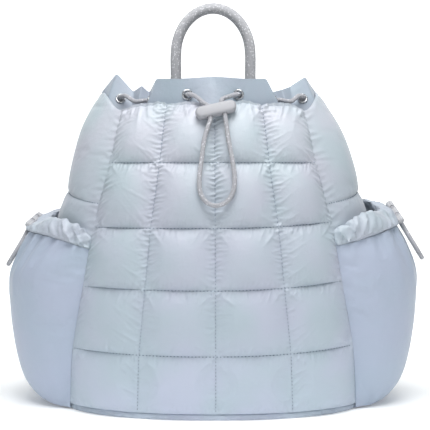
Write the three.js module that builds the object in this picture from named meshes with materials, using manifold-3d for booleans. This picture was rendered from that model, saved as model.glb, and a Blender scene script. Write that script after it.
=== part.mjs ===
// A quilted drawstring backpack: padded panels sewn round a hollow, a gathered collar with eyelets
// and a drawcord, two gathered side pockets, a rope handle and two shoulder straps.
// Millimetres, +Z up. The front faces -Y, and the origin is the middle of the base, on the floor.
import * as THREE from "three";
import { mergeVertices } from "three/addons/utils/BufferGeometryUtils.js";
import Module from "manifold-3d";

const wasm = await Module();
wasm.setup();

// Driving dimensions
const SEAM_GAP = 0.4; // between pieces that are sewn or threaded together
const BASE_HEIGHT = 5.6;
const BASE_BEVEL = 2.4;
const PANEL_EDGE = 2.4; // a padded panel's thickness where it is stitched
const PANEL_BACKING = 3; // how far the padding swells towards the inside
const FRONT_PUFF = 9; // how far a quilted square stands out of its seams
const SIDE_PUFF = 5.5;
const BACK_PUFF = 4;
const PUFF_POWER = 0.55; // under 1 gives pillows that rise steeply from their seams
const FRONT_ROUNDNESS = 2.2; // superellipse powers of the body's plan
const BACK_ROUNDNESS = 3;
const CLOTH = 1.8; // the collar's wall
const POCKET_CLOTH = 2.2;
const POCKET_SPREAD = 0.72; // under 1 gives a pocket that leaves its side seams steeply
const POCKET_SIDEWAYS = 0.5; // turns the pocket's swell from the body's normal towards the side
const BAND_HEIGHT = 19;
const BAND_GATHERS = 9;
const BAND_RIPPLE = 1.7;
const CORD = 4.2; // the drawcord's diameter
const CORD_SIDES = 8;
const EYELET = { bore: 3.3, barrel: 3.9, flange: 5.4, lip: 0.8, sides: 8 };
const LOCK = { length: 39, height: 11.5, depth: 8.5, holes: 14, bore: 2.8 };
const POCKET_LOCK = { length: 33, height: 10, depth: 8.4, holes: 11, bore: 3.2 };
const HANDLE = { rope: 11, half: 39, y: 62.6, foot: 293.4, spring: 352, top: 400 };
const STRAP = { width: 54, end: 34, thick: 9, webbing: 25, web: 1.8 };
const BUCKLE = { width: 34, height: 24, thick: 3, bar: 4, slot: 6 };

// The body's plan at each height: where its skin lies at the side, front and back, and the half
// widths at which the side panels are sewn to the front and back panels.
const BODY_SECTIONS = [
  { z: 5, side: 151, front: 95, back: 79, frontSeam: 138, backSeam: 116 },
  { z: 60, side: 156, front: 98, back: 83, frontSeam: 134, backSeam: 121 },
  { z: 120, side: 155, front: 98, back: 84, frontSeam: 123, backSeam: 121 },
  { z: 180, side: 150, front: 92, back: 82, frontSeam: 112, backSeam: 116 },
  { z: 215, side: 141.5, front: 86, back: 79, frontSeam: 103, backSeam: 109 },
  { z: 240, side: 134, front: 80, back: 75, frontSeam: 97, backSeam: 103 },
  { z: 270, side: 124, front: 71, back: 69, frontSeam: 91, backSeam: 95 },
  { z: 293, side: 113, front: 62, back: 62, frontSeam: 85, backSeam: 85 },
  { z: 306, side: 106, front: 56, back: 58, frontSeam: 80, backSeam: 79 },
];

// The quilting lines across the front, bottom to top, with the rise of each line's two ends.
const FRONT_ROWS = [
  { z: 6, leftRise: 0, rightRise: 0 },
  { z: 60, leftRise: 2, rightRise: 5 },
  { z: 121, leftRise: 1, rightRise: 6 },
  { z: 178, leftRise: 0, rightRise: 5 },
  { z: 238.5, leftRise: 0, rightRise: 0 },
  { z: 293, leftRise: 1, rightRise: 1 },
];
const FRONT_COLUMNS = [-1, -0.51, 0.02, 0.54, 1]; // shares of the half width

// The quilting lines across each side, at the front seam and at the back seam.
const SIDE_ROWS = [
  { front: 6, back: 6 },
  { front: 78, back: 84 },
  { front: 138, back: 152 },
  { front: 200, back: 226 },
  { front: 294, back: 297 },
];
const SIDE_TOP_RISE = 10; // the side's top edge is an arch

// The heights of each pocket's top edge at its front seam and at its outer side, and of its lock's
// two ends.
const POCKETS = {
  left: { side: -1, front: 157, outer: 169, lockFront: 179, lockBack: 187 },
  right: { side: 1, front: 160, outer: 177, lockFront: 180, lockBack: 199 },
};

// How far a pocket's skin stands off the body, at heights that scale with the pocket's top.
const POCKET_SECTIONS = [
  { z: 1.6, out: 3 },
  { z: 3, out: 17 },
  { z: 10, out: 28 },
  { z: 25, out: 37 },
  { z: 52, out: 42 },
  { z: 90, out: 45.5 },
  { z: 125, out: 46 },
  { z: 150, out: 41 },
  { z: 170, out: 33 },
];
const BAND_TOP_OUT = 20; // the gathered band leans in to this

// The collar's folds round the right half, front to back: plan at the bottom and at the top.
const COLLAR_BOTTOM = 287;
const COLLAR_FOLDS = [
  { name: "front", x: 0, y: -59.3, topX: 0, topY: -54, topZ: 321 },
  { name: "dip", x: 33, y: -57.2, topX: 30, topY: -50, topZ: 318 },
  { name: "flap", x: 63, y: -51, topX: 55, topY: -49, topZ: 318.5 },
  { name: "tuck", x: 58, y: -33, topX: 49, topY: -26, topZ: 309 },
  { name: "ridge", x: 75, y: -37, topX: 70, topY: -30, topZ: 313 },
  { name: "valley", x: 79, y: -29, topX: 75, topY: -17, topZ: 311 },
  { name: "peak", x: 103, y: -22, topX: 93, topY: -14, topZ: 324 },
  { name: "side", x: 110, y: 10, topX: 94, topY: 12, topZ: 314 },
  { name: "rear_ridge", x: 93, y: 33, topX: 84, topY: 32, topZ: 319 },
  { name: "rear_tuck", x: 72, y: 32, topX: 62, topY: 26, topZ: 311 },
  { name: "rear_flap", x: 60, y: 54, topX: 54, topY: 50, topZ: 315 },
  { name: "back", x: 0, y: 60.2, topX: 0, topY: 52, topZ: 314 },
];

// The eyelets of the right half, in the drawcord's order from the front.
const EYELETS = [
  { name: "front", from: "front", to: "dip", along: 0.76, z: 303 },
  { name: "fold", from: "flap", to: "tuck", along: 0.55, z: 298 },
  { name: "side", from: "valley", to: "peak", along: 0.48, z: 301 },
  { name: "rear", from: "side", to: "rear_ridge", along: 0.55, z: 300 },
  { name: "back", from: "rear_tuck", to: "rear_flap", along: 0.5, z: 299 },
];

const lerp = THREE.MathUtils.lerp;
const vec = (x, y, z) => new THREE.Vector3(x, y, z);

// Materials
const cloth = new THREE.MeshStandardMaterial({ color: 0xbac9d8, roughness: 0.5 });
const rope = new THREE.MeshStandardMaterial({ color: 0xb4b2b8, roughness: 0.85 });
const webbing = new THREE.MeshStandardMaterial({ color: 0xa9b6c6, roughness: 0.8 });
const plastic = new THREE.MeshStandardMaterial({ color: 0xdcdbe1, roughness: 0.4 });
const metal = new THREE.MeshStandardMaterial({ color: 0x8f9196, roughness: 0.3, metalness: 1 });

// Reads a column of a table at a height, on a smooth curve through its rows.
function smooth(rows, column, at) {
  const last = rows.length - 1;
  let i = 0;
  while (i < last - 1 && at > rows[i + 1].z) i++;
  const slope = (k) => {
    const a = rows[Math.max(k - 1, 0)];
    const b = rows[Math.min(k + 1, last)];
    return (b[column] - a[column]) / (b.z - a.z);
  };
  const span = rows[i + 1].z - rows[i].z;
  const t = THREE.MathUtils.clamp((at - rows[i].z) / span, 0, 1);
  const rise = rows[i + 1][column] - rows[i][column];
  const [m0, m1] = [slope(i) * span, slope(i + 1) * span];
  return rows[i][column] + m0 * t + (3 * rise - 2 * m0 - m1) * t ** 2 + (m0 + m1 - 2 * rise) * t ** 3;
}

// A closed solid from corners and triangles, with its faces turned outwards.
function solidGeometry(points, triangles) {
  let volume = 0;
  for (const [a, b, c] of triangles) volume += points[a].dot(vec().crossVectors(points[b], points[c]));
  const facing = volume < 0 ? triangles.map(([a, b, c]) => [a, c, b]) : triangles;
  const geometry = new THREE.BufferGeometry().setFromPoints(points);
  geometry.setIndex(facing.flat());
  geometry.computeVertexNormals();
  return geometry;
}

// A wall between an outer and an inner grid of points; a closed wall runs on round to its first column.
function wallBetween(outer, inner, closed = false) {
  const [columns, rows] = [outer.length, outer[0].length];
  const points = [...outer.flat(), ...inner.flat()];
  const at = (layer, i, j) => layer * columns * rows + (i % columns) * rows + j;
  const triangles = [];
  const quad = (a, b, c, d) => triangles.push([a, b, c], [a, c, d]);
  const spans = closed ? columns : columns - 1;
  for (let i = 0; i < spans; i++) {
    for (let j = 0; j < rows - 1; j++) {
      quad(at(0, i, j), at(0, i + 1, j), at(0, i + 1, j + 1), at(0, i, j + 1));
      quad(at(1, i, j), at(1, i, j + 1), at(1, i + 1, j + 1), at(1, i + 1, j));
    }
    quad(at(0, i, 0), at(1, i, 0), at(1, i + 1, 0), at(0, i + 1, 0));
    quad(at(0, i, rows - 1), at(0, i + 1, rows - 1), at(1, i + 1, rows - 1), at(1, i, rows - 1));
  }
  for (let j = 0; j < rows - 1 && !closed; j++) {
    quad(at(0, 0, j), at(0, 0, j + 1), at(1, 0, j + 1), at(1, 0, j));
    quad(at(0, spans, j), at(1, spans, j), at(1, spans, j + 1), at(0, spans, j + 1));
  }
  return solidGeometry(points, triangles);
}

// A solid through rings of points, capped at both ends.
function loft(rings) {
  const sides = rings[0].length;
  const triangles = [];
  for (let i = 0; i < rings.length - 1; i++) {
    for (let k = 0; k < sides; k++) {
      const [a, b] = [i * sides + k, i * sides + ((k + 1) % sides)];
      triangles.push([a, b, b + sides], [a, b + sides, a + sides]);
    }
  }
  const end = (rings.length - 1) * sides;
  for (let k = 1; k < sides - 1; k++) triangles.push([0, k + 1, k], [end, end + k, end + k + 1]);
  return solidGeometry(rings.flat(), triangles);
}

// The unit normal of a surface function, on the side away from the point inside.
function normalAt(surface, u, v, inside) {
  const step = 1e-3;
  const du = surface(u + step, v).sub(surface(u - step, v));
  const dv = surface(u, v + step).sub(surface(u, v - step));
  const normal = du.cross(dv).normalize();
  return normal.dot(surface(u, v).sub(inside)) < 0 ? normal.negate() : normal;
}

// A geometry as a solid for cutting, and a solid back as a geometry.
function toSolid(geometry) {
  const bare = geometry.clone();
  bare.deleteAttribute("normal");
  bare.deleteAttribute("uv");
  const merged = mergeVertices(bare, 1e-4);
  const triVerts = new Uint32Array(merged.index.array);
  const vertProperties = merged.attributes.position.array;
  return new wasm.Manifold(new wasm.Mesh({ numProp: 3, vertProperties, triVerts }));
}

function toGeometry(solid) {
  const mesh = solid.getMesh();
  const geometry = new THREE.BufferGeometry();
  geometry.setAttribute("position", new THREE.BufferAttribute(mesh.vertProperties, 3));
  geometry.setIndex(new THREE.BufferAttribute(mesh.triVerts, 1));
  geometry.computeVertexNormals();
  return geometry;
}

// A round tube along a curve.
function tube(curve, diameter, steps, sides) {
  const circle = new THREE.Path().absarc(0, 0, diameter / 2, 0, 2 * Math.PI);
  const section = new THREE.Shape(circle.getPoints(sides / 2));
  return new THREE.ExtrudeGeometry(section, { steps, extrudePath: curve, bevelEnabled: false });
}

// The body's skin
const bodyAt = (column, z) => smooth(BODY_SECTIONS, column, z);

function frontSkin(x, z) {
  const share = Math.abs(x) / bodyAt("side", z);
  return vec(x, -bodyAt("front", z) * (1 - share ** FRONT_ROUNDNESS) ** (1 / FRONT_ROUNDNESS), z);
}

function backSkin(x, z) {
  const share = Math.abs(x) / bodyAt("side", z);
  return vec(x, bodyAt("back", z) * (1 - share ** BACK_ROUNDNESS) ** (1 / BACK_ROUNDNESS), z);
}

// The right side's skin: t runs from the front seam at 0 to the back seam at 1.
function sideSkin(t, z) {
  const y = lerp(frontSkin(bodyAt("frontSeam", z), z).y, backSkin(bodyAt("backSeam", z), z).y, t);
  const [depth, power] = y < 0 ? [bodyAt("front", z), FRONT_ROUNDNESS] : [bodyAt("back", z), BACK_ROUNDNESS];
  return vec(bodyAt("side", z) * (1 - (Math.abs(y) / depth) ** power) ** (1 / power), y, z);
}

// A pillow's height over a cell, 0 on its seams and 1 in its middle.
const pillow = (a, b) => (16 * a * (1 - a) * b * (1 - b)) ** PUFF_POWER;

// Places across one quilted cell, close together where the pillow rises from its seams.
const CELL_STEPS = [0, 0.16, 0.5, 0.84];

// Every place across a row of cells, as {cell, share}.
function places(cells, steps = CELL_STEPS) {
  const all = [];
  for (let cell = 0; cell < cells; cell++) for (const share of steps) all.push({ cell, share });
  return [...all, { cell: cells - 1, share: 1 }];
}

// A padded panel: its skin swells out of the seams and, less, towards the inside.
function paddedPanel(skin, columns, rows, puff) {
  const middle = vec(0, 0, 150);
  const grids = { outer: [], inner: [] };
  for (const across of columns) {
    const [outer, inner] = [[], []];
    for (const up of rows) {
      const on = (u, v) => skin(across.cell, u, up.cell, v);
      const safe = (share) => THREE.MathUtils.clamp(share, 0.002, 0.998);
      const normal = normalAt(on, safe(across.share), safe(up.share), middle);
      const swell = pillow(across.share, up.share);
      const point = on(across.share, up.share);
      outer.push(point.clone().addScaledVector(normal, puff * swell));
      inner.push(point.clone().addScaledVector(normal, -PANEL_EDGE - PANEL_BACKING * swell));
    }
    grids.outer.push(outer);
    grids.inner.push(inner);
  }
  return wallBetween(grids.outer, grids.inner);
}

function frontPanel() {
  const rowAt = (row, share) => {
    const { z, leftRise, rightRise } = FRONT_ROWS[row];
    return z + (share < 0 ? leftRise : rightRise) * share ** 2;
  };
  const skin = (column, a, row, b) => {
    const share = lerp(FRONT_COLUMNS[column], FRONT_COLUMNS[column + 1], a);
    const z = lerp(rowAt(row, share), rowAt(row + 1, share), b);
    return frontSkin(share * (bodyAt("frontSeam", z) - SEAM_GAP / 2), z);
  };
  return paddedPanel(skin, places(FRONT_COLUMNS.length - 1), places(FRONT_ROWS.length - 1), FRONT_PUFF);
}

function sidePanel(side) {
  const top = SIDE_ROWS.length - 1;
  const rowAt = (row, t) => {
    const arch = row === top ? SIDE_TOP_RISE * Math.sin(Math.PI * t) : 0;
    return lerp(SIDE_ROWS[row].front, SIDE_ROWS[row].back, t) + arch;
  };
  const skin = (column, t, row, b) => {
    const inset = SEAM_GAP / 100;
    const at = lerp(inset, 1 - inset, t);
    return sideSkin(at, lerp(rowAt(row, at), rowAt(row + 1, at), b)).multiply(vec(side, 1, 1));
  };
  const columns = places(1, [0, 0.07, 0.22, 0.41, 0.6, 0.79, 0.93]);
  return paddedPanel(skin, columns, places(top, [0, 0.2, 0.6]), SIDE_PUFF);
}

function backPanel() {
  const [bottom, top] = [FRONT_ROWS[0].z, FRONT_ROWS.at(-1).z];
  const skin = (column, a, row, b) => {
    const z = lerp(bottom, top, b);
    return backSkin((2 * a - 1) * (bodyAt("backSeam", z) - SEAM_GAP / 2), z);
  };
  const across = [0, 0.05, 0.2, 0.4, 0.6, 0.8, 0.95];
  const up = [0, 0.04, 0.14, 0.3, 0.5, 0.7, 0.86, 0.96];
  return paddedPanel(skin, places(1, across), places(1, up), BACK_PUFF);
}

// The flat base, with a rounded lower edge.
function basePanel() {
  const [z, inset, steps] = [FRONT_ROWS[0].z, 0.6, 7];
  const quarter = (skin, seam) => {
    const points = [];
    for (let i = 0; i <= steps; i++) points.push(skin((seam * i) / steps, z));
    return points;
  };
  const front = quarter(frontSkin, bodyAt("frontSeam", z));
  const side = [0.25, 0.5, 0.75].map((t) => sideSkin(t, z));
  const back = quarter(backSkin, bodyAt("backSeam", z)).reverse();
  const right = [...front, ...side, ...back];
  const left = right.slice(1, -1).reverse().map((p) => vec(-p.x, p.y, p.z));
  const shrink = 1 - (inset + BASE_BEVEL) / bodyAt("front", z);
  const outline = [...right, ...left].map((p) => new THREE.Vector2(p.x * shrink, p.y * shrink));
  const depth = BASE_HEIGHT - 2 * BASE_BEVEL;
  const bevel = { bevelThickness: BASE_BEVEL, bevelSize: BASE_BEVEL, bevelSegments: 1 };
  const geometry = new THREE.ExtrudeGeometry(new THREE.Shape(outline), { depth, ...bevel });
  return geometry.translate(0, 0, BASE_BEVEL);
}

// The pockets
const pocketTop = (t, { front, outer }) => lerp(front, outer, THREE.MathUtils.smoothstep(t, 0, 0.5));

// A point that stands off the right side's skin, most in the middle and least at the seams.
function offSide(t, z, out) {
  const onSkin = (a, b) => sideSkin(a, b);
  const along = THREE.MathUtils.clamp(t, 0.01, 0.99);
  const height = Math.max(z, BODY_SECTIONS[0].z + 0.1);
  const normal = normalAt(onSkin, along, height, vec(0, 0, height));
  const heading = vec(normal.x + POCKET_SIDEWAYS, normal.y, 0).normalize();
  const least = POCKET_SECTIONS[0].out;
  const spread = Math.max(Math.sin(Math.PI * t), 0) ** POCKET_SPREAD;
  const point = sideSkin(t, z).addScaledVector(heading, least + (out - least) * spread);
  return point.setZ(z);
}

const pocketEdge = POCKET_SECTIONS.at(-1);

// The pocket's skin below its top edge: v is a share of the edge's height.
function pocketSkin(t, v, pocket) {
  const z = pocketTop(t, pocket) * v;
  return offSide(t, z, smooth(POCKET_SECTIONS, "out", v * pocketEdge.z));
}

// The gathered band above that edge, from v = 0 to its top at v = 1.
function bandSkin(t, v, pocket) {
  const out = lerp(pocketEdge.out, BAND_TOP_OUT, v);
  const taper = Math.sin(Math.PI * t) ** 0.5;
  const ripple = BAND_RIPPLE * Math.max(v, 0) ** 0.7 * taper * Math.cos(2 * Math.PI * BAND_GATHERS * t);
  return offSide(t, pocketTop(t, pocket) + SEAM_GAP + BAND_HEIGHT * v, out + ripple);
}

// A cloth wall of even thickness behind a skin on one side of the bag. Its edge at the level row is
// cut flat, where the pocket and its band are sewn together.
function clothWall(skin, columns, rows, level, side) {
  const grids = { outer: [], inner: [] };
  for (const t of columns) {
    const [outer, inner] = [[], []];
    for (const v of rows) {
      const point = skin(t, v);
      const normal = normalAt(skin, THREE.MathUtils.clamp(t, 0.004, 0.996), v, vec(120, 0, point.z + 20));
      if (v === level) normal.setZ(0).normalize();
      inner.push(point.clone().addScaledVector(normal, -POCKET_CLOTH).multiply(vec(side, 1, 1)));
      outer.push(point.multiply(vec(side, 1, 1)));
    }
    grids.outer.push(outer);
    grids.inner.push(inner);
  }
  return wallBetween(grids.outer, grids.inner);
}

function sidePocket(pocket) {
  const columns = [0, 0.03, 0.09, 0.18, 0.29, 0.4, 0.5, 0.6, 0.71, 0.82, 0.91, 0.97, 1];
  const rows = POCKET_SECTIONS.map(({ z }) => z / pocketEdge.z);
  return clothWall((t, v) => pocketSkin(t, v, pocket), columns, rows, 1, pocket.side);
}

function pocketBand(pocket) {
  const columns = Array.from({ length: 4 * BAND_GATHERS + 1 }, (_, i) => i / (4 * BAND_GATHERS));
  return clothWall((t, v) => bandSkin(t, v, pocket), columns, [0, 0.4, 1], 0, pocket.side);
}

// The collar: all folds in a ring, from the front round the right side, the back and the left.
const ringOfFolds = [
  ...COLLAR_FOLDS,
  ...COLLAR_FOLDS.slice(1, -1).reverse().map((f) => ({ ...f, x: -f.x, topX: -f.topX })),
];

// A ring of plan points set in by the cloth's thickness, mitred at each fold.
function setIn(ring) {
  const count = ring.length;
  const across = (a, b) => new THREE.Vector2(a.y - b.y, b.x - a.x).normalize();
  return ring.map((point, i) => {
    const before = across(ring[(i + count - 1) % count], point);
    const after = across(point, ring[(i + 1) % count]);
    const middle = before.clone().add(after).normalize();
    return point.clone().addScaledVector(middle, CLOTH / middle.dot(after));
  });
}

const collarGrid = (() => {
  const low = ringOfFolds.map((f) => new THREE.Vector2(f.x, f.y));
  const high = ringOfFolds.map((f) => new THREE.Vector2(f.topX, f.topY));
  const [lowIn, highIn] = [setIn(low), setIn(high)];
  const column = (bottom, top, i) => [
    vec(bottom[i].x, bottom[i].y, COLLAR_BOTTOM),
    vec(top[i].x, top[i].y, ringOfFolds[i].topZ),
  ];
  const outer = low.map((_, i) => column(low, high, i));
  const inner = low.map((_, i) => column(lowIn, highIn, i));
  return { outer, inner };
})();

// Where an eyelet of the right half sits: the middle of the cloth, and the way out of the bag.
function eyeletSeat({ from, to, along, z }) {
  const [a, b] = [from, to].map((name) => COLLAR_FOLDS.findIndex((f) => f.name === name));
  const onFacet = (grid, share, height) => {
    const rise = (column) => (height - COLLAR_BOTTOM) / (column[1].z - COLLAR_BOTTOM);
    const [p, q] = [grid[a], grid[b]].map((column) => column[0].clone().lerp(column[1], rise(column)));
    return p.lerp(q, share);
  };
  const outer = onFacet(collarGrid.outer, along, z);
  const centre = outer.clone().add(onFacet(collarGrid.inner, along, z)).multiplyScalar(0.5);
  const across = onFacet(collarGrid.outer, along + 0.1, z).sub(outer);
  const up = onFacet(collarGrid.outer, along, z + 4).sub(outer);
  const out = across.cross(up).normalize();
  return { centre, out: out.dot(outer.clone().sub(centre)) < 0 ? out.negate() : out };
}

const seats = EYELETS.map((e) => ({ name: e.name, ...eyeletSeat(e) }));
const mirrorX = (v, side) => vec(v.x * side, v.y, v.z);

// Turns a geometry from its own Y axis to a direction and moves it to a place.
function aim(geometry, direction, place) {
  const turn = new THREE.Quaternion().setFromUnitVectors(vec(0, 1, 0), direction);
  return geometry.applyQuaternion(turn).translate(place.x, place.y, place.z);
}

function eyeletRing(seat, side) {
  const face = CLOTH / 2 + SEAM_GAP;
  const profile = [
    [EYELET.bore, -face],
    [EYELET.barrel, -face],
    [EYELET.barrel, face],
    [EYELET.flange, face],
    [EYELET.flange - EYELET.lip, face + EYELET.lip],
    [EYELET.bore, face + EYELET.lip],
    [EYELET.bore, -face],
  ];
  const ring = new THREE.LatheGeometry(profile.map(([r, y]) => new THREE.Vector2(r, y)), EYELET.sides);
  return aim(ring, mirrorX(seat.out, side), mirrorX(seat.centre, side));
}

function collar() {
  const disc = (radius, length) => new THREE.CylinderGeometry(radius, radius, length, EYELET.sides);
  let solid = toSolid(wallBetween(collarGrid.outer, collarGrid.inner, true));
  for (const { side } of Object.values(POCKETS)) {
    for (const seat of seats) {
      const [out, centre] = [mirrorX(seat.out, side), mirrorX(seat.centre, side)];
      const hole = disc(EYELET.barrel + SEAM_GAP, 14);
      const room = disc(EYELET.flange + SEAM_GAP, 4).translate(0, 2 + CLOTH / 2 + SEAM_GAP / 2, 0);
      solid = solid.subtract(toSolid(aim(hole, out, centre)));
      solid = solid.subtract(toSolid(aim(room, out, centre)));
    }
  }
  return toGeometry(solid);
}

// A cord lock: a rounded bar with two bores for the cord. Its length lies along its own X axis,
// the bores along its Z axis.
function cordLock({ length, height, depth, holes, bore }) {
  const [radius, bevel, sides] = [height / 2, 1.6, 8];
  const half = length / 2 - radius;
  const outline = new THREE.Shape();
  outline.absarc(half, 0, radius - bevel, -Math.PI / 2, Math.PI / 2);
  outline.absarc(-half, 0, radius - bevel, Math.PI / 2, 1.5 * Math.PI);
  const rounding = { bevelThickness: bevel, bevelSize: bevel, bevelSegments: 1, curveSegments: 4 };
  const bar = new THREE.ExtrudeGeometry(outline, { depth: depth - 2 * bevel, ...rounding });
  bar.translate(0, 0, bevel - depth / 2).rotateX(Math.PI / 2);
  let solid = toSolid(bar);
  for (const x of [-holes / 2, holes / 2]) {
    const hole = new THREE.CylinderGeometry(bore, bore, 2 * height, sides);
    solid = solid.subtract(toSolid(hole.rotateX(Math.PI / 2).translate(x, 0, 0)));
  }
  return toGeometry(solid);
}

// The front lock leans back on the top of the front panel, its right end higher than its left.
const LOCK_PLACE = { centre: vec(2.8, -75.9, 288), lean: 23, tilt: 14 };
const lockTurn = new THREE.Matrix4()
  .makeRotationX(THREE.MathUtils.degToRad(-LOCK_PLACE.lean))
  .multiply(new THREE.Matrix4().makeRotationY(THREE.MathUtils.degToRad(-LOCK_PLACE.tilt)))
  .setPosition(LOCK_PLACE.centre);
const onLock = (x, y, z) => vec(x, y, z).applyMatrix4(lockTurn);

// A pocket's lock lies on the outside of its band, its length round the pocket's mouth.
const POCKET_LOCK_ENDS = { front: { x: 188.5, y: 0 }, back: { x: 175.5, y: 29 } };
const POCKET_LOCK_LEAN = vec(-0.42, 0, 1);

function pocketLockTurn({ lockFront, lockBack }) {
  const front = vec(POCKET_LOCK_ENDS.front.x, POCKET_LOCK_ENDS.front.y, lockFront);
  const back = vec(POCKET_LOCK_ENDS.back.x, POCKET_LOCK_ENDS.back.y, lockBack);
  const x = front.clone().sub(back).normalize();
  const z = POCKET_LOCK_LEAN.clone().addScaledVector(x, -POCKET_LOCK_LEAN.dot(x)).normalize();
  const y = vec().crossVectors(z, x);
  return new THREE.Matrix4().makeBasis(x, y, z).setPosition(front.clone().lerp(back, 0.5));
}

// The drawcord's route on one side, from inside the lock out to the bag's back: in and out of the
// eyelets, with a few places between them where it goes round a fold.
function drawcordSide(side) {
  const [front, fold, flank, rear, back] = seats;
  const near = (seat, far) => seat.centre.clone().addScaledVector(seat.out, far);
  const [hole, top] = [(side * LOCK.holes) / 2, LOCK.height / 2];
  const fromLock = [
    onLock(hole, 0, SEAM_GAP),
    onLock(hole, 0, top + 1),
    onLock(hole + 2 * side, 2, top + 4.5),
  ];
  const roundCollar = [
    near(front, 9).add(vec(-6, 0, -2)),
    near(front, 5).add(vec(-0.6, 0, 0)),
    near(front, 0),
    near(front, -5).add(vec(0.6, 0, 0)),
    near(fold, -9).add(vec(0, 2, 0)),
    near(fold, -4.5),
    near(fold, 0),
    near(fold, 5),
    vec(74, -42.5, 297.5),
    near(flank, 9).add(vec(-5, -1.5, -0.5)),
    near(flank, 4.5),
    near(flank, 0),
    near(flank, -5),
    vec(90, -5, 300),
    near(rear, -9).add(vec(2, -4, 0)),
    near(rear, -4.5),
    near(rear, 0),
    near(rear, 5),
    near(rear, 9).add(vec(-3, 3, 0)),
    vec(82, 47, 299),
    near(back, 9).add(vec(2, 0, 0)),
    near(back, 4.5),
    near(back, 0),
    near(back, -5),
    vec(38, 44, 298),
  ];
  return [...fromLock, ...roundCollar.map((p) => mirrorX(p, side))];
}

function drawcord() {
  const behind = vec(0, 46, 298);
  const route = [...drawcordSide(-1), behind, ...drawcordSide(1).reverse()];
  return tube(new THREE.CatmullRomCurve3(route, false, "centripetal"), CORD, 80, CORD_SIDES);
}

// The loop that hangs below the front lock, down the quilted front.
const LOOP_ROUTE = [
  { x: -7.5, y: -83.8, z: 262 },
  { x: -10.5, y: -90.4, z: 240 },
  { x: -12.4, y: -95.9, z: 222 },
  { x: -11, y: -98.4, z: 210.5 },
  { x: -5.5, y: -99.6, z: 202.5 },
  { x: 3, y: -100.2, z: 199.5 },
  { x: 11.8, y: -99.6, z: 202.5 },
  { x: 18, y: -98.4, z: 211 },
  { x: 20, y: -95.9, z: 223 },
  { x: 18, y: -90.4, z: 241 },
  { x: 14, y: -83.8, z: 263 },
];

function drawcordLoop() {
  const bottom = -LOCK.height / 2;
  const ends = [-1, 1].map((side) => onLock((side * LOCK.holes) / 2, 0, -SEAM_GAP));
  const below = [-1, 1].map((side) => onLock((side * LOCK.holes) / 2, 0, bottom - 1));
  const free = LOOP_ROUTE.map((p) => vec(p.x, p.y, p.z));
  const route = [ends[0], below[0], ...free, below[1], ends[1]];
  return tube(new THREE.CatmullRomCurve3(route, false, "centripetal"), CORD, 27, CORD_SIDES);
}

// A pocket's cord: out of the band, through the lock, down in a loop and back.
const POCKET_LOOP = { rise: 0.9, drop: 46, width: 19, hang: vec(0.5, 0, -1).normalize() };

// The place on the band nearest in depth to a point, and a second place straight out from it.
function fromBand(point, pocket) {
  const skin = (t, v) => bandSkin(t, v, pocket);
  const [front, back] = [0, 1].map((t) => skin(t, POCKET_LOOP.rise).y);
  const along = (point.y - front) / (back - front);
  const place = skin(along, POCKET_LOOP.rise);
  const normal = normalAt(skin, along, POCKET_LOOP.rise, vec(120, 0, place.z));
  return [2 * SEAM_GAP, 4].map((far) => place.clone().addScaledVector(normal, far));
}

function pocketCord(pocket) {
  const [hole, top, bottom] = [POCKET_LOCK.holes / 2, POCKET_LOCK.height / 2, -POCKET_LOCK.height / 2];
  const { drop, width, hang } = POCKET_LOOP;
  const turn = pocketLockTurn(pocket);
  const onPocketLock = (x, y, z) => vec(x, y, z).applyMatrix4(turn);
  const middle = onPocketLock(0, 0, bottom - 1);
  const below = (across, far) => middle.clone().addScaledVector(hang, far).add(vec(0, -across, 0));
  const strand = (s) => [
    ...fromBand(onPocketLock(s * hole, 0, top), pocket),
    onPocketLock(s * hole, 0, top + 3.5),
    onPocketLock(s * hole, 0, top - 1),
    onPocketLock(s * hole, 0, 0),
    onPocketLock(s * hole, 0, bottom - 1),
    below((s * (hole + width / 2)) / 2, drop * 0.4),
    below((s * width) / 2, drop * 0.7),
    below(s * width * 0.36, drop * 0.92),
  ];
  const route = [...strand(-1), below(0, drop), ...strand(1).reverse()];
  const curve = new THREE.CatmullRomCurve3(route.map((p) => mirrorX(p, pocket.side)), false, "centripetal");
  return tube(curve, CORD, 28, CORD_SIDES);
}

// The rope handle: two straight legs and an arch, standing on the seam behind the collar.
function handle() {
  const { rope: diameter, half, y, foot, spring, top } = HANDLE;
  const arch = [];
  for (let i = 0; i <= 12; i++) {
    const angle = (Math.PI * i) / 12;
    arch.push(vec(-half * Math.cos(angle), y, spring + (top - spring) * Math.sin(angle)));
  }
  const leg = (x) => [foot, lerp(foot, spring, 0.33), lerp(foot, spring, 0.67)].map((z) => vec(x, y, z));
  const route = [...leg(-half), ...arch, ...leg(half).reverse()];
  return tube(new THREE.CatmullRomCurve3(route), diameter, 26, 10);
}

// A strap along a route: its width lies across the bag, its thickness behind it.
function strapRings(route, steps, widthAt, thick, rounding, axis = vec(1, 0, 0)) {
  const curve = new THREE.CatmullRomCurve3(route, false, "centripetal");
  const rings = [];
  for (let i = 0; i <= steps; i++) {
    const t = i / steps;
    const along = curve.getTangent(t);
    const across = axis.clone().addScaledVector(along, -along.dot(axis)).normalize();
    const out = vec().crossVectors(across, along);
    const [w, h] = [widthAt(t) / 2, thick / 2];
    const corner = [
      [w - rounding, h],
      [w, h - rounding],
      [w, rounding - h],
      [w - rounding, -h],
      [rounding - w, -h],
      [-w, rounding - h],
      [-w, h - rounding],
      [rounding - w, h],
    ];
    const place = curve.getPoint(t);
    rings.push(corner.map(([a, b]) => place.clone().addScaledVector(across, a).addScaledVector(out, b)));
  }
  return rings;
}

// The shoulder strap's middle line on the right, from the top of the back down to its buckle.
const STRAP_ROUTE = [
  { x: 46, y: 66.5, z: 281 },
  { x: 47, y: 92, z: 288 },
  { x: 49, y: 110, z: 276 },
  { x: 55, y: 122, z: 240 },
  { x: 64, y: 126, z: 190 },
  { x: 74, y: 122, z: 145 },
];
const BUCKLE_PLACE = { centre: vec(87, 110, 90), heading: vec(10, -13, -36).normalize() };

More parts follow.
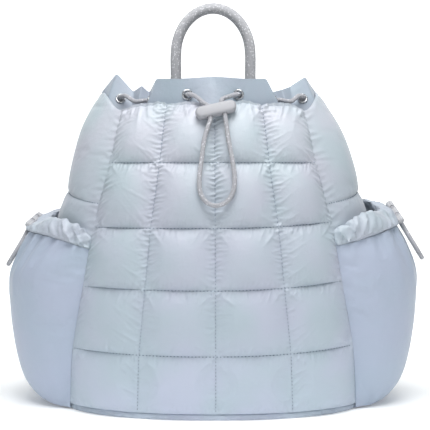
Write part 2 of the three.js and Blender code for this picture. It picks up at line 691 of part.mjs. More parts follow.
// The buckle's own frame: X across the webbing, Y up the strap and Z away from the bag.
function buckleFrame() {
  const up = BUCKLE_PLACE.heading.clone().negate();
  const across = vec(1, 0, 0).addScaledVector(up, -up.x).normalize();
  const out = vec().crossVectors(across, up);
  return new THREE.Matrix4().makeBasis(across, up, out).setPosition(BUCKLE_PLACE.centre);
}

function shoulderStrap(side) {
  const route = STRAP_ROUTE.map(({ x, y, z }) => vec(x, y, z));
  const above = (gap) => vec(0, BUCKLE.height / 2 + gap, 0).applyMatrix4(buckleFrame());
  const end = [22, 11, 2 * SEAM_GAP].map(above);
  const narrow = (t) => lerp(STRAP.width, STRAP.end, THREE.MathUtils.smoothstep(t, 0.62, 1));
  const rings = strapRings([...route, ...end], 18, narrow, STRAP.thick, 3);
  return loft(rings.map((ring) => ring.map((p) => mirrorX(p, side))));
}

function strapBuckle(side) {
  const { width, height, thick, bar, slot } = BUCKLE;
  const box = (w, h) => [
    new THREE.Vector2(-w / 2, -h / 2),
    new THREE.Vector2(w / 2, -h / 2),
    new THREE.Vector2(w / 2, h / 2),
    new THREE.Vector2(-w / 2, h / 2),
  ];
  const plate = new THREE.Shape(box(width, height));
  for (const y of [-1, 1]) {
    const middle = new THREE.Vector2(0, (y * (slot + bar)) / 2);
    const hole = box(width - 2 * bar, slot).map((p) => p.add(middle));
    plate.holes.push(new THREE.Path(hole.reverse()));
  }
  const geometry = new THREE.ExtrudeGeometry(plate, { depth: thick, bevelEnabled: false });
  geometry.translate(0, 0, -thick / 2).applyMatrix4(buckleFrame());
  return side > 0 ? geometry : flipped(geometry);
}

// A geometry mirrored to the left side, with its faces turned back outwards.
function flipped(geometry) {
  const solid = toSolid(geometry);
  return toGeometry(solid.mirror([1, 0, 0]));
}

// The webbing: a short tail in front of the buckle, over the middle bar, and down behind it to the bag.
const WEBBING_FOOT = [
  { x: 98, y: 93, z: 53 },
  { x: 103.5, y: 83.5, z: 35 },
  { x: 106, y: 75.4, z: 22 },
];
const WEBBING_TAIL = 52;
const WEBBING_EDGE = 0.5;

function strapWebbing(side) {
  const frame = buckleFrame();
  const { thick, bar } = BUCKLE;
  const off = thick / 2 + SEAM_GAP + STRAP.web / 2;
  const onBuckle = (y, z) => vec(0, y, z).applyMatrix4(frame);
  const turn = [];
  for (let i = 4; i >= 0; i--) {
    const angle = (Math.PI * i) / 4;
    turn.push(onBuckle(bar / 2 - 0.6 + off * Math.sin(angle), -off * Math.cos(angle)));
  }
  const route = [
    onBuckle(-WEBBING_TAIL, off + 4),
    onBuckle(-26, off + 1.5),
    onBuckle(-12, off),
    onBuckle(-5, off),
    ...turn,
    onBuckle(-5, -off),
    onBuckle(-12, -off),
    onBuckle(-26, -off - 0.8),
    ...WEBBING_FOOT.map(({ x, y, z }) => vec(x, y, z)),
  ];
  const across = vec().setFromMatrixColumn(frame, 0);
  const steps = 2 * (route.length - 1);
  const band = loft(strapRings(route, steps, () => STRAP.webbing, STRAP.web, WEBBING_EDGE, across));
  return side > 0 ? band : flipped(band);
}

// The assembly
const backpack = new THREE.Group();

function add(name, geometry, material) {
  const mesh = new THREE.Mesh(geometry, material);
  mesh.name = name;
  backpack.add(mesh);
  return mesh;
}

add("front_panel", frontPanel(), cloth);
add("back_panel", backPanel(), cloth);
add("base_panel", basePanel(), cloth);
add("collar", collar(), cloth);
add("carry_handle", handle(), rope);
add("drawcord", drawcord(), rope);
add("drawcord_loop", drawcordLoop(), rope);
add("cord_lock", cordLock(LOCK), plastic).applyMatrix4(lockTurn);
for (const [name, pocket] of Object.entries(POCKETS)) {
  const { side } = pocket;
  add(`side_panel_${name}`, sidePanel(side), cloth);
  add(`side_pocket_${name}`, sidePocket(pocket), cloth);
  add(`pocket_band_${name}`, pocketBand(pocket), cloth);
  add(`pocket_cord_${name}`, pocketCord(pocket), rope);
  const lock = cordLock(POCKET_LOCK).applyMatrix4(pocketLockTurn(pocket));
  add(`pocket_lock_${name}`, side > 0 ? lock : flipped(lock), plastic);
  add(`shoulder_strap_${name}`, shoulderStrap(side), cloth);
  add(`strap_buckle_${name}`, strapBuckle(side), plastic);
  add(`strap_webbing_${name}`, strapWebbing(side), webbing);
  for (const seat of seats) add(`eyelet_${seat.name}_${name}`, eyeletRing(seat, side), metal);
}

export default backpack;
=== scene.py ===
"""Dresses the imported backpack: simulated padded panels, pockets and gathers, braided cords and stitching.

Metres, +Z up. The front faces -Y, and the origin is the middle of the base, on the floor.
"""

import math

import bpy
import numpy as np
from mathutils import Matrix, Vector


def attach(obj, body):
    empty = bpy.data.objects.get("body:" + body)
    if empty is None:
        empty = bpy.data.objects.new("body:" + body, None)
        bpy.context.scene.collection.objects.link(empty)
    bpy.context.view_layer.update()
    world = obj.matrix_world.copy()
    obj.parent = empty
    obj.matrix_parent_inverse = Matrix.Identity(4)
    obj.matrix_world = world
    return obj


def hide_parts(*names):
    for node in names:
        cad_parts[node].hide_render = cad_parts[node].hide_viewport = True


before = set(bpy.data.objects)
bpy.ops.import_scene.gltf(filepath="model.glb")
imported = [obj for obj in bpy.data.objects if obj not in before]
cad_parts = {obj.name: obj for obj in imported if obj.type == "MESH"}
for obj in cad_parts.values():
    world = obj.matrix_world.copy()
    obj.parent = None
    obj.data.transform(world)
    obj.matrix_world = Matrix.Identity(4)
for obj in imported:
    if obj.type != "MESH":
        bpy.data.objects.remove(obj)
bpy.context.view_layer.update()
scene = bpy.context.scene


def table(columns, rows):
    """A table with named columns: a dict from each column's name to its values."""
    return dict(zip(columns, np.array(rows, float).T))


# Sizes shared with the solids
SEAM_GAP = 0.0004
PANEL_EDGE = 0.0024
PANEL_BACKING = 0.003
FRONT_PUFF = 0.009
SIDE_PUFF = 0.0055
BACK_PUFF = 0.004
ROUNDNESS = {"front": 2.2, "back": 3}
FACING = {"front": -1, "back": 1}
BASE_HEIGHT = 0.0056
CLOTH = 0.0018
POCKET_SPREAD = 0.72
POCKET_SIDEWAYS = 0.5
BAND_HEIGHT = 0.019
BAND_TOP_OUT = 0.020
CORD = 0.0042
BODY = table(
    ("z", "side", "front", "back", "front_seam", "back_seam"),
    [
        (0.005, 0.151, 0.095, 0.079, 0.138, 0.116),
        (0.060, 0.156, 0.098, 0.083, 0.134, 0.121),
        (0.120, 0.155, 0.098, 0.084, 0.123, 0.121),
        (0.180, 0.150, 0.092, 0.082, 0.112, 0.116),
        (0.215, 0.1415, 0.086, 0.079, 0.103, 0.109),
        (0.240, 0.134, 0.080, 0.075, 0.097, 0.103),
        (0.270, 0.124, 0.071, 0.069, 0.091, 0.095),
        (0.293, 0.113, 0.062, 0.062, 0.085, 0.085),
        (0.306, 0.106, 0.056, 0.058, 0.080, 0.079),
    ],
)
FRONT_COLUMNS = (-1, -0.51, 0.02, 0.54, 1)
FRONT_ROWS = table(
    ("z", "left_rise", "right_rise"),
    [
        (0.006, 0, 0),
        (0.060, 0.002, 0.005),
        (0.121, 0.001, 0.006),
        (0.178, 0, 0.005),
        (0.2385, 0, 0),
        (0.293, 0.001, 0.001),
    ],
)
SIDE_ROWS = table(
    ("front", "back"),
    [(0.006, 0.006), (0.078, 0.084), (0.138, 0.152), (0.200, 0.226), (0.294, 0.297)],
)
SIDE_TOP_RISE = 0.013
POCKETS = {
    "left": {"side": -1, "front": 0.157, "outer": 0.1705, "steep": 4},
    "right": {"side": 1, "front": 0.160, "outer": 0.177, "steep": 2.2},
}
POCKET = table(
    ("z", "out"),
    [
        (0.0016, 0.003),
        (0.003, 0.017),
        (0.010, 0.028),
        (0.025, 0.037),
        (0.052, 0.042),
        (0.090, 0.0455),
        (0.125, 0.046),
        (0.150, 0.0395),
        (0.170, 0.032),
    ],
)
COLLAR_BOTTOM = 0.287
COLLAR_FOLDS = {
    "front": (0, -0.0593, 0, -0.047, 0.321),
    "dip": (0.033, -0.0572, 0.031, -0.0575, 0.318),
    "flap": (0.068, -0.048, 0.0515, -0.053, 0.3185),
    "tuck": (0.060, -0.033, 0.058, -0.026, 0.3075),
    "ridge": (0.075, -0.037, 0.067, -0.030, 0.3095),
    "valley": (0.079, -0.029, 0.0755, -0.017, 0.313),
    "peak": (0.105, -0.022, 0.0905, -0.014, 0.323),
    "side": (0.1095, 0.010, 0.106, 0.012, 0.3055),
    "rear_ridge": (0.093, 0.033, 0.084, 0.032, 0.309),
    "rear_tuck": (0.072, 0.032, 0.062, 0.026, 0.3065),
    "rear_flap": (0.060, 0.054, 0.054, 0.050, 0.315),
    "back": (0, 0.0602, 0, 0.052, 0.314),
}
COLLAR_LEFT = {
    "flap": (0.067, -0.048, 0.0535, -0.053, 0.3185),
    "tuck": (0.060, -0.033, 0.062, -0.026, 0.3075),
    "ridge": (0.075, -0.037, 0.069, -0.030, 0.3135),
    "valley": (0.079, -0.029, 0.078, -0.017, 0.3085),
    "peak": (0.109, -0.022, 0.0945, -0.014, 0.3265),
    "side": (0.1145, 0.008, 0.1125, 0.010, 0.3085),
}
EYELETS = {
    "front": ("front", "dip", 0.76, 0.303),
    "fold": ("flap", "tuck", 0.55, 0.298),
    "side": ("valley", "peak", 0.48, 0.301),
    "rear": ("side", "rear_ridge", 0.55, 0.300),
    "back": ("rear_tuck", "rear_flap", 0.5, 0.299),
}
EYELET = {"bore": 0.0033, "barrel": 0.0039, "flange": 0.0054, "roll": 0.0011}

# Curves and skins of the body


def cubic(start, rise, leave, reach, t):
    """A cubic that climbs by rise from start, with these slopes where it leaves and where it arrives."""
    return start + leave * t + (3 * rise - 2 * leave - reach) * t**2 + (leave + reach - 2 * rise) * t**3


def through(rows, column, at):
    """Reads a column of a table at the given heights, on a smooth curve through its rows."""
    z, values = rows["z"], rows[column]
    at = np.asarray(at, float)
    i = np.searchsorted(z[1:-1], at, side="left")
    slope = np.gradient(values, z)
    slope[1:-1] = (values[2:] - values[:-2]) / (z[2:] - z[:-2])
    span = z[i + 1] - z[i]
    t = np.clip((at - z[i]) / span, 0, 1)
    return cubic(values[i], values[i + 1] - values[i], slope[i] * span, slope[i + 1] * span, t)


def superellipse(share, power):
    return np.maximum(1 - np.abs(share) ** power, 0) ** (1 / power)


def face_skin(face, x, z):
    """The front's or the back's skin at the given places."""
    y = FACING[face] * through(BODY, face, z) * superellipse(x / through(BODY, "side", z), ROUNDNESS[face])
    return np.stack(np.broadcast_arrays(x, y, z), -1)


def side_skin(t, z):
    """The right side's skin: t runs from the front seam at 0 to the back seam at 1."""
    front, back = (face_skin(face, through(BODY, f"{face}_seam", z), z)[..., 1] for face in ROUNDNESS)
    y = front + (back - front) * t
    side = through(BODY, "side", z)
    ahead, behind = (side * superellipse(y / through(BODY, face, z), ROUNDNESS[face]) for face in ROUNDNESS)
    return np.stack(np.broadcast_arrays(np.where(y < 0, ahead, behind), y, z), -1)


def mirrored(points, side):
    return points * np.array((side, 1, 1))


def unit(vectors):
    return vectors / np.linalg.norm(vectors, axis=-1, keepdims=True)


def smoothstep(x, low, high):
    t = np.clip((x - low) / (high - low), 0, 1)
    return t * t * (3 - 2 * t)


def hump(x, middle, width):
    return np.exp(-(((x - middle) / width) ** 2))


# Grids of points: rows upwards, columns across, facing the way that across x up points


def slope_of(points, axis, closed=False):
    if closed:
        return np.roll(points, -1, axis) - np.roll(points, 1, axis)
    return np.gradient(points, axis=axis)


def normals_of(points, closed=False):
    return unit(np.cross(slope_of(points, 1, closed), slope_of(points, 0)))


def length_along(points, axis):
    """How far each point lies along its grid line from the line's first point."""
    step = np.linalg.norm(np.diff(points, axis=axis), axis=-1)
    return np.concatenate([np.zeros_like(np.take(step, [0], axis)), np.cumsum(step, axis)], axis)


def raised(points, by):
    """A grid moved along its own normals."""
    return points + normals_of(points) * np.asarray(by)[..., None]


def lengths(line):
    """How far each point of a line lies along it."""
    return length_along(line[None], 1)[0]


def at_lengths(vectors, far, at):
    """Reads vectors that are given at lengths along a line at other lengths."""
    return np.stack([np.interp(at, far, vectors[:, k]) for k in range(3)], -1)


def grid_faces(rows, columns, closed=False, first=0, flip=False):
    spans = columns if closed else columns - 1
    i, j = np.meshgrid(np.arange(rows - 1), np.arange(spans), indexing="ij")
    a, b = i * columns + j, i * columns + (j + 1) % columns
    quads = np.stack([a, b, b + columns, a + columns], -1).reshape(-1, 4) + first
    return quads[:, ::-1] if flip else quads


def new_object(name, points, faces, uv=None, finish=None, sharp=None):
    """A mesh object in the scene, shaded smooth apart from edges sharper than the angle sharp."""
    mesh = bpy.data.meshes.new(name)
    corners = np.asarray(points).reshape(-1, 3).tolist()
    mesh.from_pydata(corners, [], [list(face) for face in faces], shade_flat=False)
    if uv is not None:
        layer = mesh.uv_layers.new(name="cloth")
        corner = np.zeros(len(mesh.loops), np.int32)
        mesh.loops.foreach_get("vertex_index", corner)
        layer.uv.foreach_set("vector", np.asarray(uv, np.float32).reshape(-1, 2)[corner].ravel())
    if sharp is not None:
        mesh.set_sharp_from_angle(angle=math.radians(sharp))
    if finish is not None:
        mesh.materials.append(finish)
    mesh.validate()
    made = bpy.data.objects.new(name, mesh)
    scene.collection.objects.link(made)
    return made


def rim(fine, coarse, flip):
    """Faces between a run of point numbers and a run with as many points or fewer."""
    step = (len(fine) - 1) // (len(coarse) - 1)
    faces = []
    for k in range(len(coarse) - 1):
        face = [*fine[k * step : (k + 1) * step + 1], coarse[k + 1], coarse[k]]
        faces.append(face[::-1] if flip else face)
    return faces


def wall(name, outer, inner, finish, closed=False, sharp=50):
    """A closed wall between an outer and an inner grid; a closed ring runs on round to its first column."""
    count = outer.shape[0] * outer.shape[1]
    number = np.arange(count).reshape(outer.shape[:2])
    inside = np.arange(inner.shape[0] * inner.shape[1]).reshape(inner.shape[:2]) + count
    faces = grid_faces(*outer.shape[:2], closed).tolist()
    faces += grid_faces(*inner.shape[:2], closed, count, flip=True).tolist()
    edges = [(number[0], inside[0], True), (number[-1], inside[-1], False)]
    if closed:
        edges = [(np.append(a, a[0]), np.append(b, b[0]), flip) for a, b, flip in edges]
    else:
        edges += [(number[:, 0], inside[:, 0], False), (number[:, -1], inside[:, -1], True)]
    for fine, coarse, flip in edges:
        faces += rim(fine, coarse, flip)
    points, uv = [], []
    for grid in (outer, inner):
        points.append(grid.reshape(-1, 3))
        uv.append(np.stack([length_along(grid, 1), length_along(grid, 0)], -1).reshape(-1, 2))
    return new_object(name, np.concatenate(points), faces, np.concatenate(uv), finish, sharp)


def put(piece, slot, *nodes):
    """Places a finished piece in the frame: it rides on the bag's one body and stands for these solids."""
    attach(piece, "root")
    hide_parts(*nodes)
    return piece


# Cloth simulation: every cloth is set up first, and then one run moves them all
CLOTH_FRAMES = 14
SPARE_LEVELS = 12
CLOTH_SETTINGS = {
    "vertex_group_mass": "sewn",
    "quality": 4,
    "mass": 0.3,
    "tension_stiffness": 12,
    "compression_stiffness": 12,
    "shear_stiffness": 4,
    "bending_stiffness": 0.001,
    "air_damping": 1,
    "use_pressure": True,
}
cloths = {}


def set_cloth(name, start, spare, sewn, pressure):
    """Sets up a grid of cloth, longer than its start by the share spare, one for all points or one for each.
    The points in sewn stay where they start."""
    rows, columns = start.shape[:2]
    cloth = new_object(f"{name}_cloth", start, grid_faces(rows, columns))
    held = cloth.vertex_groups.new(name="sewn")
    held.add(np.flatnonzero(sewn).tolist(), 1.0, "REPLACE")
    modifier = cloth.modifiers.new("Cloth", "CLOTH")
    settings = modifier.settings
    for setting, value in CLOTH_SETTINGS.items():
        setattr(settings, setting, value)
    settings.uniform_pressure_force = pressure
    settings.effector_weights.gravity = 0
    spare = np.broadcast_to(spare, (rows, columns))
    least, most = spare.min(), spare.max()
    settings.shrink_min = -most
    settings.shrink_max = -least
    if most > least:
        group = cloth.vertex_groups.new(name="spare")
        level = np.round((most - spare) / (most - least) * SPARE_LEVELS)
        for number in range(1, SPARE_LEVELS + 1):
            group.add(np.flatnonzero(level == number).tolist(), number / SPARE_LEVELS, "REPLACE")
        settings.vertex_group_shrink = "spare"
    modifier.collision_settings.use_collision = False
    modifier.point_cache.frame_end = CLOTH_FRAMES
    cloths[name] = cloth, start


def run_cloths(move):
    """Runs every cloth when move is true, removes the simulated objects and returns each grid of points."""
    for number in range(1, CLOTH_FRAMES + 1 if move else 2):
        scene.frame_set(number)
    graph = bpy.context.evaluated_depsgraph_get()
    result = {}
    for name, (cloth, start) in cloths.items():
        points = np.zeros(start.size, np.float32)
        cloth.evaluated_get(graph).data.vertices.foreach_get("co", points)
        result[name] = points.reshape(start.shape).astype(float)
    for cloth, _ in cloths.values():
        mesh = cloth.data
        bpy.data.objects.remove(cloth)
        bpy.data.meshes.remove(mesh)
    scene.frame_set(1)
    return result


# Finishes


class Finish:
    """A procedural material in the making: a principled surface and the nodes that feed it."""

    def __init__(self, name, **sockets):
        self.material = bpy.data.materials.new(name)
        self.material.use_nodes = True
        self.tree = self.material.node_tree
        self.surface = self.tree.nodes["Principled BSDF"]
        for socket, value in sockets.items():
            self.surface.inputs[socket.replace("_", " ")].default_value = value

    def set_input(self, socket, value):
        if isinstance(value, bpy.types.NodeSocket):
            self.tree.links.new(value, socket)
        else:
            socket.default_value = value

    def node(self, kind, inputs, **properties):
        made = self.tree.nodes.new(kind)
        for name, value in properties.items():
            setattr(made, name, value)
        for name, value in inputs.items():
            self.set_input(made.inputs[name], value)
        return made

    def feed(self, socket, output):
        self.tree.links.new(output, self.surface.inputs[socket])

    def noise(self, place, scale, detail=3.0, roughness=0.5):
        inputs = {"Vector": place, "Scale": scale, "Detail": detail, "Roughness": roughness}
        return self.node("ShaderNodeTexNoise", inputs).outputs["Fac"]

    def bands(self, place, scale, direction):
        inputs = {"Vector": place, "Scale": scale}
        return self.node("ShaderNodeTexWave", inputs, bands_direction=direction).outputs["Fac"]

    def maths(self, operation, a, b):
        return self.node("ShaderNodeMath", {0: a, 1: b}, operation=operation).outputs[0]

    def ramp(self, fac, stops):
        made = self.node("ShaderNodeValToRGB", {"Fac": fac})
        elements = made.color_ramp.elements
        while len(elements) < len(stops):
            elements.new(0.5)
        for element, (place, colour) in zip(elements, stops):
            element.position = place
            element.color = (*colour, 1)
        return made.outputs["Color"]

    def tones(self, fac, dark, light, low=0.3):
        """A colour that goes from dark to light between the share low and as far below 1."""
        return self.ramp(fac, [(low, dark), (1 - low, light)])

    def mix(self, fac, a, b):
        made = self.node("ShaderNodeMix", {}, data_type="RGBA")
        for name, value in (("Factor", fac), ("A", a), ("B", b)):
            self.set_input(next(s for s in made.inputs if s.name == name and s.enabled), value)
        return next(s for s in made.outputs if s.enabled)

    def bump(self, *layers):
        """Stacks relief layers, each a height and its depth in metres, onto the surface's normal."""
        normal = None
        for height, depth in layers:
            inputs = {"Height": height, "Distance": depth, "Strength": 1.0}
            if normal is not None:
                inputs["Normal"] = normal
            normal = self.node("ShaderNodeBump", inputs).outputs["Normal"]
        self.feed("Normal", normal)

    @property
    def on_cloth(self):
        return self.node("ShaderNodeUVMap", {}, uv_map="cloth").outputs["UV"]

    @property
    def on_bag(self):
        return self.node("ShaderNodeTexCoord", {}).outputs["Object"]


def weave(finish, place, pitch):
    """Crossing threads of one pitch, as a height."""
    scale = 2 * math.pi / 20 / pitch
    return finish.maths("MAXIMUM", finish.bands(place, scale, "X"), finish.bands(place, scale, "Y"))


# Heights for the nylon's painted light and shade: the colour steps lighter or darker between them.
PAINTED_LIGHT_HEIGHTS = (0.024, 0.09, 0.21, 0.276)


def grey(level):
    return (level, level, level)


def shade(colour, share):
    return tuple(share * c for c in colour)


def nylon(name, lilac, teal, roughness):
    """Satin nylon: a fine weave, small creases, and a slow drift between a lilac and a teal cast.

    Each cast holds its colours at four heights, from the bag's foot up: painted light and shade that change
    the colour with height."""
    sheen = {"Sheen_Weight": 0.15, "Sheen_Roughness": 0.35}
    finish = Finish(name, Roughness=roughness, Specular_IOR_Level=0.5, **sheen)
    cloth, bag = finish.on_cloth, finish.on_bag
    drift = finish.tones(finish.noise(bag, scale=17.0, detail=2.0), grey(0), grey(1), low=0.36)
    height = finish.node("ShaderNodeSeparateXYZ", {"Vector": bag}).outputs["Z"]
    # Painted light and shade: each cast's colour ramps with the height on the bag.
    casts_with_painted_light = [finish.ramp(height, list(zip(PAINTED_LIGHT_HEIGHTS, cast))) for cast in (lilac, teal)]
    finish.feed("Base Color", finish.mix(drift, *casts_with_painted_light))
    creases = finish.noise(bag, scale=160.0, detail=4.0, roughness=0.55)
    finish.bump((creases, 0.0005), (weave(finish, cloth, 0.00035), 0.00003))
    return finish.material


def thread_finish(name, colour):
    finish = Finish(name, Roughness=0.6)
    twist = finish.noise(finish.on_bag, scale=1800.0, detail=2.0)
    finish.feed("Base Color", finish.tones(twist, shade(colour, 0.85), colour))
    return finish.material


def braid_finish(name, dark, light, fleck, share):
    """Braided yarn: each crossing of the braid is a cell, a few of them in a paler fleck."""
    finish = Finish(name, Roughness=0.75, Sheen_Weight=0.2)
    cell = finish.node("ShaderNodeVectorMath", {0: finish.on_cloth}, operation="FLOOR").outputs["Vector"]
    chance = finish.node("ShaderNodeTexWhiteNoise", {"Vector": cell}, noise_dimensions="2D").outputs["Value"]
    yarn = finish.noise(finish.on_bag, scale=900.0, detail=3.0)
    is_fleck = finish.maths("GREATER_THAN", chance, 1 - share)
    finish.feed("Base Color", finish.mix(is_fleck, finish.tones(yarn, dark, light), (*fleck, 1)))
    finish.bump((finish.noise(finish.on_bag, scale=1500.0, detail=2.0), 0.0001))
    return finish.material


def plastic_finish(name, colour, roughness):
    finish = Finish(name, Roughness=roughness, Specular_IOR_Level=0.5)
    cloud = finish.noise(finish.on_bag, scale=60.0, detail=2.0)
    finish.feed("Base Color", finish.tones(cloud, shade(colour, 0.95), colour))
    finish.bump((finish.noise(finish.on_bag, scale=2200.0, detail=2.0), 0.00002))
    return finish.material


def metal_finish(name, colour):
    finish = Finish(name, Metallic=1.0, Roughness=0.28)
    worn = finish.noise(finish.on_bag, scale=700.0, detail=3.0)
    finish.feed("Base Color", finish.tones(worn, shade(colour, 0.75), colour, low=0.35))
    finish.feed("Roughness", finish.tones(worn, grey(0.2), grey(0.36)))
    return finish.material


def webbing_finish(name, dark, light):
    finish = Finish(name, Roughness=0.7, Sheen_Weight=0.15)
    ribs = weave(finish, finish.on_cloth, 0.0016)
    finish.feed("Base Color", finish.tones(ribs, dark, light, low=0.1))
    finish.bump((ribs, 0.0004))
    return finish.material


# Nylon colours at the four heights: painted light at the foot and the top rows, painted shade between.
NYLON = nylon(
    "nylon",
    ((0.489, 0.532, 0.649), (0.455, 0.488, 0.584), (0.449, 0.469, 0.538), (0.520, 0.534, 0.598)),
    ((0.451, 0.532, 0.605), (0.417, 0.488, 0.549), (0.405, 0.469, 0.514), (0.465, 0.534, 0.578)),
    0.40,
)
# A darker copy of the same nylon for the pockets and the collar: painted shade, darkest at the top where the
# collar sits.
SHADED_NYLON = nylon(
    "shaded_nylon",
    ((0.43, 0.48, 0.61), (0.42, 0.47, 0.59), (0.41, 0.455, 0.56), (0.385, 0.42, 0.495)),
    ((0.41, 0.48, 0.59), (0.40, 0.47, 0.575), (0.39, 0.455, 0.545), (0.355, 0.42, 0.485)),
    0.42,
)
# Thread darker than the nylon: painted shade in the stitch holes along the seams; the upright seams' thread
# is paler, with less painted shade.
SHADE_DARK_THREAD = thread_finish("thread", (0.22, 0.275, 0.345))
PALER_SHADE_THREAD = thread_finish("paler_shade_thread", (0.32, 0.37, 0.45))
ROPE = braid_finish("rope", (0.37, 0.37, 0.39), (0.48, 0.48, 0.505), (0.68, 0.68, 0.70), 0.10)
BRAID = braid_finish("braid", (0.31, 0.31, 0.335), (0.41, 0.41, 0.44), (0.55, 0.55, 0.58), 0.08)
LOCK_PLASTIC = plastic_finish("pale_plastic", (0.36, 0.36, 0.385), 0.38)
GREY_PLASTIC = plastic_finish("grey_plastic", (0.46, 0.46, 0.48), 0.4)
STEEL = metal_finish("steel", (0.62, 0.63, 0.65))
WEBBING = webbing_finish("webbing", (0.42, 0.49, 0.57), (0.55, 0.62, 0.70))

# Camera, light and floor
CAMERA_PLACE = (0.002, -1.150, 0.2385)
CAMERA_AIM = (0.002, 0, 0.1865)
PHOTO_WIDTH = 0.430
SENSOR = 36.0
SURROUND = {"Color": (0.90, 0.98, 1.0, 1), "Strength": 0.295}
LIGHTS = {
    "overhead": {"place": (0.02, -0.48, 1.36), "aim": (0, 0, 0.2), "size": 1.0, "power": 19.5},
    "front": {"place": (0.1, -1.9, 0.9), "aim": (0, 0, 0.15), "size": 1.4, "power": 4},
}
FLOOR = {"half": 12.0, "front": -10.0, "back": 3.2, "bend": 1.2}
WALL = {"half": 2.4, "height": 4.0}


def add_aimed(name, data, place, aim):
    """Puts a camera or a light at a place in the scene, turned towards a point."""
    made = bpy.data.objects.new(name, data)
    made.location = place
    made.rotation_euler = (Vector(aim) - Vector(place)).to_track_quat("-Z", "Y").to_euler()
    scene.collection.objects.link(made)
    return made


def make_camera():
    camera = bpy.data.cameras.new("camera")
    camera.sensor_width = SENSOR
    camera.lens = SENSOR * abs(CAMERA_PLACE[1]) / PHOTO_WIDTH
    scene.camera = add_aimed("camera", camera, CAMERA_PLACE, CAMERA_AIM)


def make_lights():
    """Soft light from above and in front, and an even pale surround."""
    world = bpy.data.worlds.new("surround")
    world.use_nodes = True
    for socket, value in SURROUND.items():
        world.node_tree.nodes["Background"].inputs[socket].default_value = value
    scene.world = world
    scene.view_settings.view_transform = "Standard"
    for name, facts in LIGHTS.items():
        light = bpy.data.lights.new(name, "AREA")
        light.shape = "DISK"
        light.size = facts["size"]
        light.energy = facts["power"]
        add_aimed(name, light, facts["place"], facts["aim"])


def make_floor():
    """A pale floor that sweeps up behind the bag and glows a little, more so further back."""
    start, radius = FLOOR["back"] - FLOOR["bend"], FLOOR["bend"]
    rows = [(FLOOR["half"], FLOOR["front"], 0.0), (FLOOR["half"], start, 0.0)]
    for angle in np.linspace(0, math.pi / 2, 13)[1:]:
        rows.append((WALL["half"], start + radius * math.sin(angle), radius - radius * math.cos(angle)))
    rows.append((WALL["half"], FLOOR["back"], WALL["height"]))
    points = np.array([[(x, y, z) for x in (-half, half)] for half, y, z in rows])
    floor = new_object("floor", points, grid_faces(len(rows), 2))
    finish = Finish("floor", Roughness=0.9, Specular_IOR_Level=0.1, Emission_Strength=1.0)
    back = finish.node("ShaderNodeSeparateXYZ", {"Vector": finish.on_bag}).outputs["Y"]
    finish.feed("Emission Color", finish.tones(back, grey(0.14), grey(0.75), low=0.05))
    speck = finish.noise(finish.on_bag, scale=40.0, detail=2.0)
    finish.feed("Base Color", finish.tones(speck, grey(0.93), grey(0.95), low=0.2))
    floor.data.materials.append(finish.material)


make_camera()
make_lights()
make_floor()

# Where each panel's skin lies, with every quilting line on a whole number of cells
CORNER_DROP = 0.006
TOP_WAVE = 0.0011
FULLER = {-1: 0.0035, 1: -0.002}
FRONT_STEPS = (60, 68)
BACK_STEPS = (56, 64)
SIDE_STEPS = (84, 56)
LINING_STEP = 4


def between(lines, steps):
    """Fills some steps from each line or value to the next, and says how many cells lie before each step."""
    lines = np.asarray(lines, float)
    cells = np.arange((len(lines) - 1) * steps + 1) / steps
    columns = lines.reshape(len(lines), -1).T
    filled = np.array([np.interp(cells, np.arange(len(lines)), column) for column in columns]).T
    return filled.reshape(len(cells), *lines.shape[1:]), cells


def wander(x, seed, waves=5):
    """A smooth random line between about -1 and 1, for x in waves of about one unit."""
    chance = np.random.default_rng(seed)
    rate, phase = chance.uniform(0.25, 1.3, waves), chance.uniform(0, 2 * math.pi, waves)
    return sum(np.sin(r * x + p) for r, p in zip(rate, phase)) / math.sqrt(waves)


def front_grid(across, up):
    share, a = between(FRONT_COLUMNS, across)
    rise = np.where(share < 0, FRONT_ROWS["left_rise"][:, None], FRONT_ROWS["right_rise"][:, None])
    lines = FRONT_ROWS["z"][:, None] + rise * share**2
    lines[-1] -= CORNER_DROP * hump(np.abs(share), 1, 0.13) - TOP_WAVE * wander(share * 17, 95)
    z, b = between(lines, up)
    return face_skin("front", share * through(BODY, "front_seam", z), z), a, b


def side_grid(side, across, up):
    t = np.linspace(0, 1, across + 1)
    lines = SIDE_ROWS["front"][:, None] * (1 - t) + SIDE_ROWS["back"][:, None] * t
    lines[-1] += SIDE_TOP_RISE * np.sin(math.pi * t) - CORNER_DROP * hump(t, 0, 0.12)
    z, b = between(lines, up)
    fuller = FULLER[side] * smoothstep(z, 0.225, 0.300) * np.sin(math.pi * t) ** 0.7
    points = mirrored(raised(side_skin(t, z), fuller), side)
    return points[:, ::side], np.arange(across + 1) / across, b


def back_grid(across, up):
    share = np.linspace(1, -1, across + 1)
    z, b = between(FRONT_ROWS["z"][[0, -1], None], up)
    return face_skin("back", share * through(BODY, "back_seam", z), z), np.arange(across + 1) / across, b


def pillow(a, b):
    """A pillow's height over each cell: 0 on its seams and 1 a little below its middle.

    It is gentler at the panel's two ends than along the seams between cells."""
    outer = 1 - smoothstep(np.minimum(a, a[-1] - a), 0, 0.5)
    a, b = a[None, :] % 1, (b[:, None] % 1) ** 0.8
    return (1 - np.abs(2 * a - 1) ** 2.2) ** (0.95 + 0.45 * outer) * (1 - np.abs(2 * b - 1) ** 2.1) ** 0.8


def quilt(name, puff, spare, pressure, top=0.0):
    """Sets up a padded panel's outer cloth, sewn along its quilting lines; top moves its upper edge."""
    skin, a, b = GRIDS[name]
    sewn = (a % 1 == 0)[None, :] | (b % 1 == 0)[:, None]
    start = raised(skin, puff * pillow(a, b))
    start[-1] += top
    set_cloth(name, start, spare, sewn, pressure)


def border(points):
    """True on the first and last rows and columns of a grid."""
    edge = np.zeros(points.shape[:2], bool)
    edge[[0, -1]] = True
    edge[:, [0, -1]] = True
    return edge


